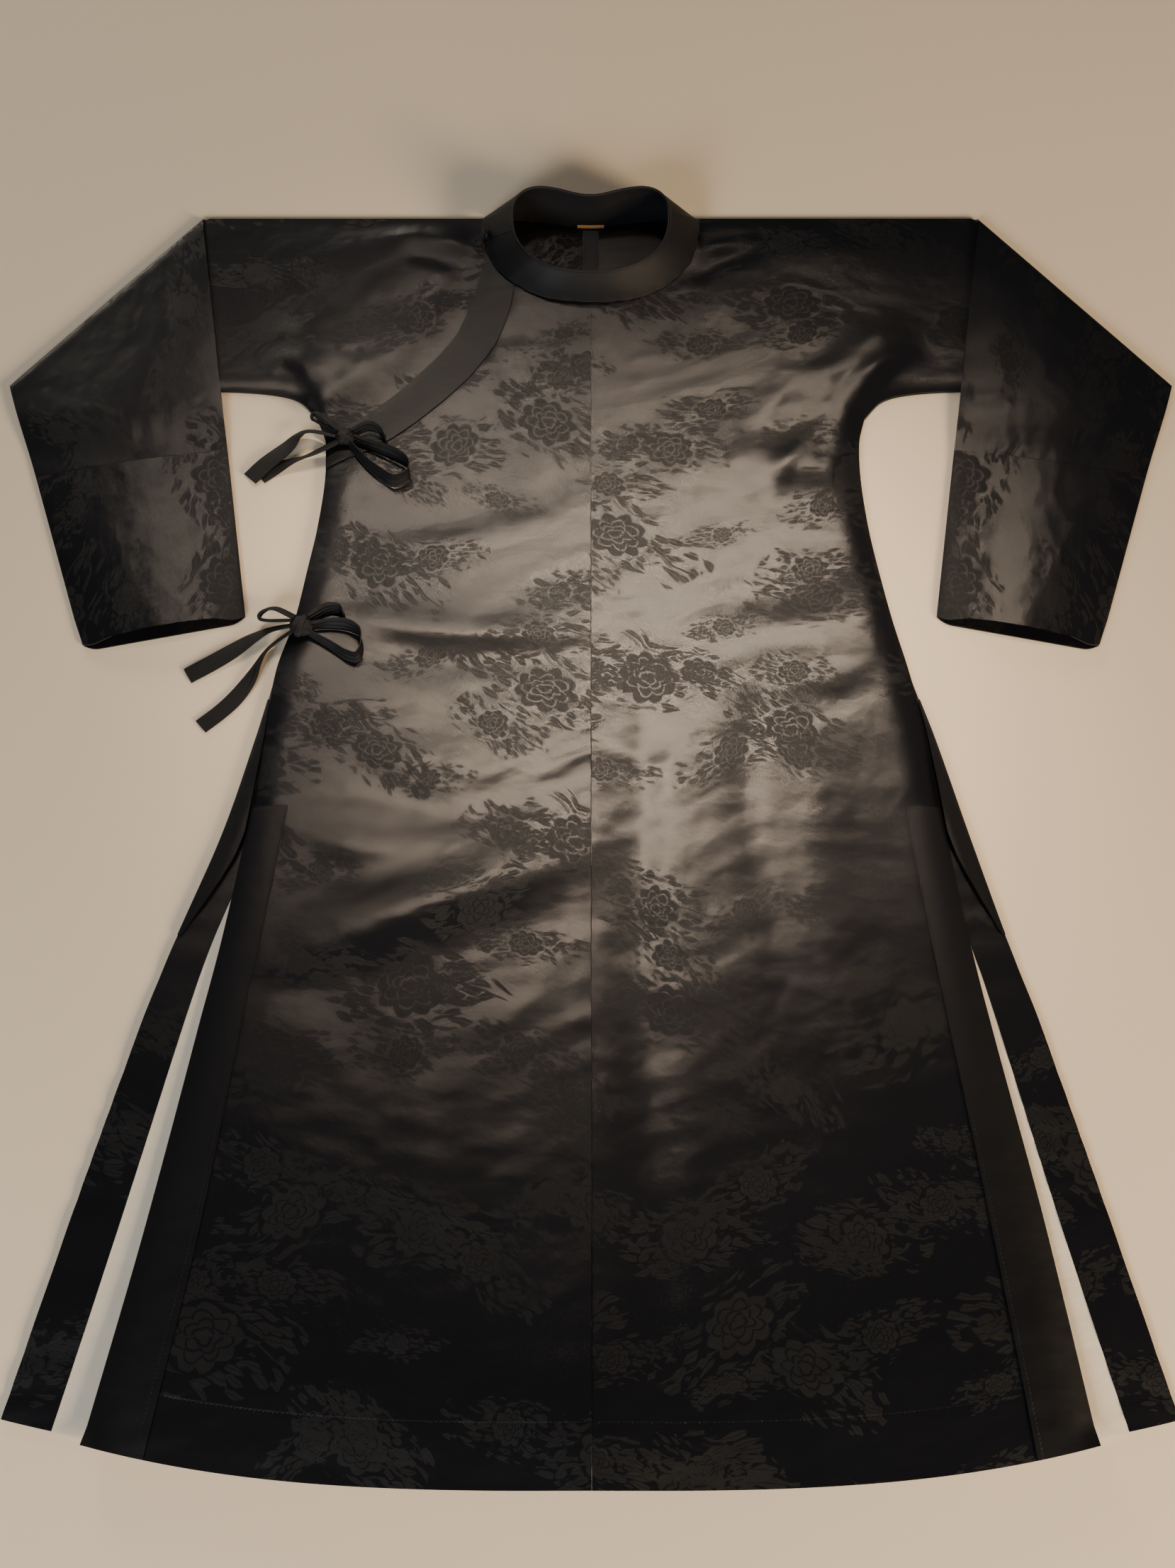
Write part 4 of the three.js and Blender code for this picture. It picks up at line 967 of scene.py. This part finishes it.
# Outer sleeves: flat tubes, folded over with the upper sleeve
def sleeveRing(part, inset, across, upper):
    start = sleeve["seamAt"] + seam / 2
    high, low = blend(start, sleeve["cuffHigh"], part), blend(start, sleeve["cuffLow"], part)
    depth = shoulderLine - underarmAt(low)
    t = blend(inset / depth, 1 - inset / depth, across)
    back = sleeve["setBack"] * np.sin(math.pi * across) if upper and part == 1 else 0
    corner = np.clip(1 - np.minimum(t, 1 - t) * depth / sleeve["cornerWide"], 0, 1) ** 2
    back = back + sleeve["cornerBack"] * corner * smooth((part - 0.8) / 0.2)
    z = inset if upper else 2 * cloth + seam - inset
    return blend(high, low, t) - back, shoulderLine - t * depth, np.full(len(t), z)


# The sections run along the outside to the cuff, and back along the inside.
def addSleeve(name, node, side):
    parts = np.linspace(0, 1, 40)
    across = (1 - np.cos(np.linspace(0, math.pi, 44))) / 2
    sections, uvs = [], []
    for inset, part in [(0, part) for part in parts] + [(cloth, part) for part in parts[::-1]]:
        ring, ringUv = [], []
        for upper, order in ((False, across), (True, across[::-1])):
            x, y, z = sleeveRing(part, inset, order, upper)
            ring.append(np.column_stack(foldOver(side * x, y, z, upper)))
            ringUv.append(pairsOf(x + (0 if upper else sleeve["uvShift"]), y))
        sections.append(np.concatenate(ring)[::side])
        uvs.append(np.concatenate(ringUv)[::side])
    piece = loft(name, node, np.array(sections), np.array(uvs), darkDamask, joined=True)
    long = (sleeve["cuffHigh"] - sleeve["seamAt"] + sleeve["hidden"]) / 1000
    declareSheet(piece, 2 * sleeve["flat"] / 1000, long)


addSleeve("sleeveLeft", "sleeve_left", 1)
addSleeve("sleeveRight", "sleeve_right", -1)
print("facings and sleeves made")


# Collar: two layers of cloth with a soft filling, rolled over at the top
collar = {
    "wall": 2.4, "lap": 0.1, "knot": -168, "bulge": 1.3, "gap": 0.25, "cut": 46, "fill": 0.95,
    "round": 300, "up": 17, "over": 9, "tall": 48, "stitchUp": 2.2, "puckers": (34, 0.28, 0.14),
    # soft dents: turn round the neck, height up the band, how far round, how far up, depth
    "dents": [
        (-148, 0.45, 9, 0.5, 0.9), (-128, 0.3, 6, 0.4, 0.8), (-112, 0.5, 7, 0.6, -0.7),
        (-97, 0.25, 5, 0.4, 0.6), (-60, 0.5, 14, 0.6, 0.5), (-30, 0.3, 10, 0.5, -0.5),
        (96, 0.4, 4, 0.5, 0.8), (84, 0.45, 4, 0.5, -0.7), (108, 0.4, 6, 0.5, 0.6), (70, 0.4, 5, 0.5, 0.6),
    ],
}


# The top of what the collar is sewn to, close to the neck's edge
def neckTop(turn):
    tops = []
    for step, scale in product((-6, 0, 6), (1, 1 + collar["wall"] / neck["half"])):
        x, y = neckPoint(turn + step)
        x, y = x * scale, neck["y"] + (y - neck["y"]) * scale
        right = overlapShape(x, y) + cloth + trim + seam
        tops.append(np.where(x > 0, blend(right, leftShape(x, y) + cloth, smooth(x / 40)), right))
    return np.max(tops, axis=0)


def outwardOf(point, turn):
    (ax, ay), (bx, by) = point(turn - 1), point(turn + 1)
    length = np.hypot(bx - ax, by - ay)
    return np.stack([by - ay, ax - bx], -1) / length[:, None]


def addCollar():
    turn = np.linspace(collar["knot"] + 0.15, collar["knot"] + 359.85, collar["round"])
    toBack = smooth((np.sin(np.radians(turn)) - 0.35) / 0.4)
    base = blend(neckTop(turn), 0, toBack) + collar["gap"]
    alike = np.where(turn > 90, 180 - turn, np.where(turn < -90, -180 - turn, turn))
    height = curveThrough(rim["turns"], rim["heights"], alike)
    low, high = np.stack(neckPoint(turn), -1), np.stack(rimPoint(turn), -1)
    lowOut, highOut = outwardOf(neckPoint, turn), outwardOf(rimPoint, turn)
    half = collar["wall"] / 2
    lap = half - collar["lap"] + 0.2 * toBack
    count, deepest, reach = collar["puckers"]
    pucker = deepest * np.sin(np.radians(turn) * count + 2 * np.sin(turn * 0.07))

    def place(up, off):
        bow = collar["bulge"] * np.sin(math.pi * up) + pucker * np.exp(-((up / reach) ** 2))
        for at, level, wide, tall, deep in collar["dents"]:
            away = (turn - at + 180) % 360 - 180
            bow = bow - deep * np.exp(-((away / wide) ** 2) - ((up - level) / tall) ** 2)
        out = off + bow + lap * (1 - up)
        spot = blend(low, high, up) + blend(lowOut, highOut, up) * out[:, None]
        return np.column_stack([spot, blend(base, height, up)])

    up = np.linspace(0, 1, collar["up"])
    rolled = []
    for angle in np.linspace(0, math.pi, collar["over"])[1:-1]:
        rolled.append(place(1, half * math.cos(angle)) + [0, 0, half * math.sin(angle)])
    sections = np.stack([place(u, half) for u in up] + rolled + [place(u, -half) for u in up[::-1]], 1)
    along = alongOf(sections[:, collar["up"] // 2])
    fromStitch = up * collar["tall"] - collar["stitchUp"]
    fromStitch = np.concatenate([fromStitch, np.full(len(rolled), collar["cut"]), fromStitch[::-1]])
    along = along[:, None]
    piece = loft("collarBand", "collar", sections, pairsOf(along, alongOf(sections[60])), collarSatin,
                 stitched=pairsOf(along, fromStitch))
    wide, long = collar["cut"] / 1000, along[-1, 0] / 1000
    declareSheet(piece, wide, long, area=wide * long * collar["fill"])


addCollar()


# Inside the neck: the tape over the back seam, and a small ochre tab
neckInside = {"tape": (15, 930, 1066), "tapeStitch": 5.6, "tab": (25, 4, 1), "tabStitch": 2, "tabUv": 9}


def addTape():
    wide, low, high = neckInside["tape"]
    grid = np.stack(np.meshgrid(np.linspace(-wide / 2, wide / 2, 13), np.linspace(low, high, 60)), -1)

    def curled(x, y):
        return firstLayer + 0.12 * (1 + np.sin(y * 0.31 + np.sin(y * 0.12))) * (2 * x / wide) ** 2

    layCloth("backSeamTape", "back_seam_tape", [grid], curled, (trim, seamTape, "tape"),
             stitch=lambda x, y: (y, np.abs(x) - neckInside["tapeStitch"]))


def addTab():
    wide, high, thick = neckInside["tab"]
    wall = neckPoint(90)[1] - 0.5
    x = np.linspace(-wide / 2, wide / 2, 40)
    # pinched in a little along the stitches that hold it
    fromSeam = np.abs(x) - wide / 2 + neckInside["tabStitch"]
    bow = 0.35 * np.cos(math.pi * x / wide) ** 2
    pinched = 1 - 0.12 * np.exp(-((fromSeam / 0.8) ** 2))
    sections = []
    for angle in np.linspace(0, 2 * math.pi, 20, endpoint=False):
        y = wall - thick / 2 - bow + signedPower(math.cos(angle), 0.4) * thick / 2
        z = firstLayer + high / 2 + signedPower(math.sin(angle), 0.4) * high / 2 * pinched
        sections.append(np.stack([x, y, z], -1))
    sections = np.stack(sections, 1)
    x, y, z = sections[:, :, 0], sections[:, :, 1], sections[:, :, 2]
    loft("neckTab", "neck_tab", sections, pairsOf(x, z + neckInside["tabUv"] * (y > wall - 0.6)), ochreTab,
         stitched=pairsOf(z, fromSeam[:, None]))


addTape()
addTab()


# Strands in each cord, how far they run for one turn, how deep the grooves between them are, and a direction
# that no cord here follows
cord = {"strands": 2, "lay": 9, "groove": 0.13, "up": (0.03, 0.05, 1)}


# A round cord along points, its strands laid round it
def cordSections(points, radius, joined=False, around=12):
    points = np.asarray(points, float)
    ahead = np.roll(points, -1, 0) - np.roll(points, 1, 0)
    if not joined:
        ahead[0], ahead[-1] = points[1] - points[0], points[-1] - points[-2]
    ahead /= np.linalg.norm(ahead, axis=1)[:, None]
    side = np.cross(ahead, cord["up"])
    side /= np.linalg.norm(side, axis=1)[:, None]
    over = np.cross(side, ahead)
    along = alongOf(points)[:, None]
    turns = along[-1, 0] / cord["lay"]
    turns = round(turns) if joined else turns
    angle = np.linspace(0, 2 * math.pi, around, endpoint=False)
    twist = 2 * math.pi * turns * along / along[-1]
    ring = (radius * (1 + cord["groove"] * np.cos(cord["strands"] * (angle - twist))))[..., None]
    c, s = np.cos(angle)[:, None], np.sin(angle)[:, None]
    sections = points[:, None] + ring * (c * side[:, None] + s * over[:, None])
    return sections, pairsOf(along, angle * radius)


# Button: a knotted ball of cord, and the loop beside it
button = {
    "radius": 4.6, "rise": 11, "winds": 3, "lobes": 4, "wave": 0.35, "tilt": 1.15, "cord": 1.1,
    "inset": 1.15, "heart": 3.4, "stalk": 1.2, "loop": 4.2, "loopCord": 0.9, "forward": 2,
}


def addKnot():
    x, y = (float(v) for v in neckPoint(collar["knot"]))
    top = float(neckTop(collar["knot"]))
    middle = np.array([x, y, top + button["rise"]])
    t = np.linspace(0, 2 * math.pi, 260, endpoint=False)
    reach = button["radius"] - button["inset"] + button["wave"] * np.cos(2 * button["lobes"] * t)
    tilt, spin = button["tilt"] * np.sin(button["lobes"] * t), button["winds"] * t
    wound = np.stack([np.cos(spin) * np.cos(tilt), np.sin(spin) * np.cos(tilt), np.sin(tilt)], -1)
    sections, uv = cordSections(middle + reach[:, None] * wound, button["cord"], joined=True, around=10)
    ball = loft("knotButton", "knot_button", sections, uv, ribbonSatin, joined=True)
    bpy.ops.mesh.primitive_uv_sphere_add(segments=24, ring_count=14, radius=button["heart"] / 1000,
                                         location=toRow(*middle)[0])
    heart = bpy.context.object
    heart.data.materials.append(ribbonSatin)
    heart.data.uv_layers[0].name = "cloth"
    stalk, stalkUv = cordSections([(x - 0.6 * k, y, top + 0.9 + k * 1.1) for k in range(8)], button["stalk"])
    joinInto(ball, heart, loft("buttonStalk", None, stalk, stalkUv, ribbonSatin))

    beside = collar["wall"] + button["loop"] + button["loopCord"]
    a = np.linspace(0, 2 * math.pi, 72, endpoint=False)
    reach = button["loop"] * (1 + 0.14 * np.cos(a))
    ring = np.stack([x - beside + reach * np.cos(a), y - button["forward"] + 0.92 * reach * np.sin(a),
                     top + button["loopCord"] + seam + 0.5 + 0.5 * np.cos(a)], -1)
    sections, uv = cordSections(ring, button["loopCord"], joined=True)
    loft("buttonLoop", "button_loop", sections, uv, ribbonSatin, joined=True)


addKnot()
print("collar, button, tape and tab made")


# Side ties: each a bow. A ribbon's rows are x, y, height of its middle, tip from flat in degrees and
# width; a row of four leaves the knot at an angle, with a rise, a tip and a width.
ties = {
    "Upper": {
        "x": -218, "y": 828, "size": (18, 18, 10), "gap": 0.8, "lean": -35,
        "ribbons": {
            "loop_outer": [
                (130, 1.5, 40, 8), (-237, 848, 15, 45, 9), (-246, 853, 14, 60, 9), (-249, 850, 12, 90, 9),
                (-244, 846, 12, 120, 8), (152, 2, 130, 6),
            ],
            "loop_inner": [
                (28, 1, 50, 8), (-198, 837, 18, 55, 10), (-188, 833, 18, 75, 10), (-182, 825, 17, 90, 10),
            ],
            "loop_long": [
                (-16, 1, 60, 8), (-190, 815, 17, 60, 11), (-174, 807, 17, 65, 14), (-161, 797, 16, 80, 14),
                (-160, 786, 16, 95, 14), (-172, 779, 16, 110, 14), (-186, 788, 16, 110, 13),
                (-199, 801, 16, 110, 11), (-58, 1, 105, 8),
            ],
            "tail_top": [
                (172, 0, 45, 7), (-250, 836, 11, 48, 10), (-261, 833, 8.5, 35, 13), (-271, 822, 6, 15, 15),
                (-289, 806, 4, 0, 15), (-302, 792, 2.6, 0, 15),
            ],
            "tail_under": [
                (212, -1, 30, 7), (-243, 816, 9, 40, 9), (-255, 812, 6, 50, 11), (-267, 809, 4, 30, 12),
                (-281, 803, 1.5, 0, 13), (-293, 794, 1, 0, 13),
            ],
        },
    },
    "Lower": {
        "x": -245, "y": 638, "size": (20, 22, 10), "gap": 1.8, "lean": -20,
        "ribbons": {
            "loop_outer": [
                (128, 1.5, 40, 8), (-268, 656, 13, 50, 9), (-278, 654, 12.5, 70, 9), (-282, 649, 12, 90, 9),
                (-277, 646, 12, 115, 8), (152, 2, 125, 6),
            ],
            "loop_inner": [
                (48, 1, 50, 8), (-225, 654, 16, 55, 10), (-214, 654, 17, 75, 10), (-209, 647, 17, 95, 10),
            ],
            "loop_long": [
                (0, 1, 60, 8), (-221, 639, 16, 60, 11), (-206, 637, 17, 65, 13), (-195, 630, 17, 80, 13),
                (-193, 617, 17, 95, 13), (-197, 608, 16, 105, 13), (-207, 611, 16, 110, 12),
                (-218, 619, 15, 110, 10), (-42, 1, 105, 8),
            ],
            "tail_top": [
                (178, 0, 45, 7), (-273, 638, 8.5, 40, 11), (-288, 631, 6, 25, 14), (-303, 621, 4, 8, 15),
                (-319, 611, 2.4, 0, 15), (-341, 598, 1.2, 0, 15),
            ],
            "tail_under": [
                (210, -1, 50, 6), (-267, 627, 7, 60, 8), (-276, 618, 6, 60, 10), (-282, 607, 5, 45, 12),
                (-289, 592, 3, 12, 13), (-299, 577, 1.8, 0, 14), (-311, 564, 1.5, 0, 14),
                (-326, 551, 1.2, 0, 14),
            ],
        },
    },
}
ribbon = {"wide": 15, "thick": 1.2, "cup": 0.7, "gather": 1.5, "pleats": 3.2, "thin": 0.35, "stitchIn": 1.5}


# The top of what a ribbon lies on
def coverAt(x, y):
    onFacing = np.where(y > overlapTop - 30, seam + trim, 0)
    return np.where(np.abs(x) > sideAt(y, -1) + 2, 0, overlapShape(x, y) + cloth + onFacing)


def addRibbon(name, node, rows):
    p = fineSteps(len(rows), 12)
    x, y, z, tip, wide = (curveThrough(range(len(rows)), column, p) for column in zip(*rows))
    slopeX, slopeY = np.gradient(x), np.gradient(y)
    length = np.hypot(slopeX, slopeY)
    acrossX, acrossY = -slopeY / length, slopeX / length
    c, s = np.cos(np.radians(tip)), np.sin(np.radians(tip))
    half, full, thick = wide / 2, ribbon["wide"], ribbon["thick"]
    reach = half * c
    under = np.max([coverAt(x + acrossX * w, y + acrossY * w) for w in (-reach, 0, reach)], axis=0)
    z = np.maximum(z, under + half * np.abs(s) + thick / 2 + seam)
    z[2:-2] = (z[:-4] + 2 * z[1:-3] + 3 * z[2:-2] + 2 * z[3:-1] + z[4:]) / 9
    columns = np.linspace(-1, 1, 15)
    closed = np.clip((full - wide) / full, 0, 1)[:, None]
    bend = ribbon["cup"] * (1 - columns ** 2) * np.sin(math.pi * p / p[-1])[:, None] ** 0.5
    bend = bend + ribbon["gather"] * closed * np.cos(ribbon["pleats"] * math.pi * columns)
    edgeThin = thick / 2 * (1 - ribbon["thin"] * np.abs(columns) ** 8)
    w = half[:, None] * np.append(columns, columns[::-1])
    t = np.concatenate([bend - edgeThin, (bend + edgeThin)[:, ::-1]], 1)
    c, s = c[:, None], s[:, None]
    out = w * c - t * s
    sections = np.stack([x[:, None] + acrossX[:, None] * out, y[:, None] + acrossY[:, None] * out,
                         z[:, None] + w * s + t * c], -1)
    along = alongOf(np.column_stack([x, y, z]))[:, None]
    flatWidth = np.append(columns, columns[::-1]) * full / 2
    piece = loft(name, node, sections, pairsOf(along, flatWidth), ribbonSatin,
                 stitched=pairsOf(along, np.abs(flatWidth) - (full / 2 - ribbon["stitchIn"])))
    wide, long = full / 1000, along[-1, 0] / 1000
    declareSheet(piece, wide, long, wide * long)


# A knot: the gathered ribbon through the middle, and one turn of ribbon wrapped over it
def addTieKnot(name, node, tie, z):
    wide, deep, high = tie["size"]
    turn, lean = np.linspace(0, 2 * math.pi, 40, endpoint=False), math.radians(tie["lean"])
    middle = np.array([tie["x"], tie["y"], z])

    def shell(along, thickness, pleats):
        rows = []
        for a in along:
            r = thickness * (1 - 0.55 * abs(a) ** 2.4) * (1 + pleats * np.cos(7 * turn + 3 * a))
            u, side, up = a * wide / 2, r * np.cos(turn) * deep / 2, r * np.sin(turn) * high / 2
            rows.append(np.stack([u * math.cos(lean) - side * math.sin(lean),
                                  u * math.sin(lean) + side * math.cos(lean), up], -1))
        uv = np.stack(np.meshgrid(np.arange(len(turn)) * 0.0012, np.arange(len(along)) * 0.0009), -1)
        return np.array(rows), uv

    core, uv = shell(np.linspace(-1, 1, 22), 0.80, 0.06)
    piece = loft(name, node, middle + core, uv, ribbonSatin)
    band, uv = shell(np.linspace(-0.36, 0.36, 13), 1.0, 0.012)
    edges = 1 - 0.16 * np.abs(np.linspace(-1, 1, 13)) ** 4
    band = middle + band * edges[:, None, None]
    joinInto(piece, loft(name + "Band", None, band, uv, ribbonSatin))


for word, tie in ties.items():
    wide, deep, high = tie["size"]
    level = float(coverAt(tie["x"], tie["y"])) + tie["gap"] + high / 2
    start = f"tie_{word.lower()}_"
    addTieKnot(f"tie{word}Knot", start + "knot", tie, level)
    for part, rows in tie["ribbons"].items():
        path = []
        for row in rows:
            if len(row) == 4:
                out, rise, tip, across = row
                c, s = math.cos(math.radians(out)), math.sin(math.radians(out))
                reach = 1 / math.hypot(2 * c / wide, 2 * s / deep) - 1
                row = (tie["x"] + c * reach, tie["y"] + s * reach, level + rise, tip, across)
            path.append(row)
        addRibbon(f"tie{word}" + part.title().replace("_", ""), start + part, path)
print("ties made")


# Stage, light and camera
stage = {
    "floor": (0.76, 0.640, 0.480, 1), "rough": 0.9, "size": 6, "below": 0.0005,
    "room": (0.72, 0.82, 1, 1), "roomPower": 0.07,
}
bpy.ops.mesh.primitive_plane_add(size=stage["size"], location=(0, 0, -stage["below"]))
floor = bpy.context.object
floor.name = "floor"
floorPaint = bpy.data.materials.new("paleFloor")
floorPaint.use_nodes = True
floorShader = floorPaint.node_tree.nodes["Principled BSDF"]
floorShader.inputs["Base Color"].default_value = stage["floor"]
floorShader.inputs["Roughness"].default_value = stage["rough"]
floor.data.materials.append(floorPaint)

# Where each lamp is, what it points at, its size, spread and power, and its colour
lamps = {
    "sheen": ((0.14, 0.97, 1.7), (0.07, 0.08, 0), 0.36, 20, 1.05, (1, 0.79, 0.60)),
    "left": ((-0.37, 1.26, 1.7), (-0.15, 0.22, 0), 0.30, 16, 0.22, (1, 0.82, 0.66)),
    "far": ((-1.4, 3.2, 1.1), (0, 0, 0), 0.55, 180, 34, (1, 0.90, 0.76)),
    "side": ((2.3, -1.8, 1.2), (0.3, -0.4, 0), 1.0, 180, 155, (1, 0.76, 0.50)),
    "front": ((-1.5, -2.5, 1.5), (0, 0, 0), 1.2, 180, 78, (0.93, 0.96, 1)),
}
for name, (spot, aim, size, spread, power, color) in lamps.items():
    data = bpy.data.lights.new(name, "AREA")
    data.size, data.spread, data.energy, data.color = size, math.radians(spread), power, color
    light = bpy.data.objects.new(name, data)
    light.location = spot
    light.rotation_euler = (Vector(aim) - light.location).to_track_quat("-Z", "Y").to_euler()
    bpy.context.collection.objects.link(light)

world = bpy.data.worlds.new("softRoom")
world.use_nodes = True
background = world.node_tree.nodes["Background"]
background.inputs[0].default_value, background.inputs[1].default_value = stage["room"], stage["roomPower"]
bpy.context.scene.world = world

view = {"x": -3, "y": -89.6, "z": 1388, "lens": 42, "sensor": 36, "tilt": 23}
cameraData = bpy.data.cameras.new("camera")
cameraData.lens, cameraData.sensor_width = view["lens"], view["sensor"]
camera = bpy.data.objects.new("camera", cameraData)
camera.location = toRow(view["x"], view["y"], view["z"])[0]
camera.rotation_euler = (math.radians(view["tilt"]), 0, 0)
bpy.context.collection.objects.link(camera)
bpy.context.scene.camera = camera

for row in sheets:
    print("sheet %s %.3f x %.3f m, %.4f m2" % row)
print("stage ready")
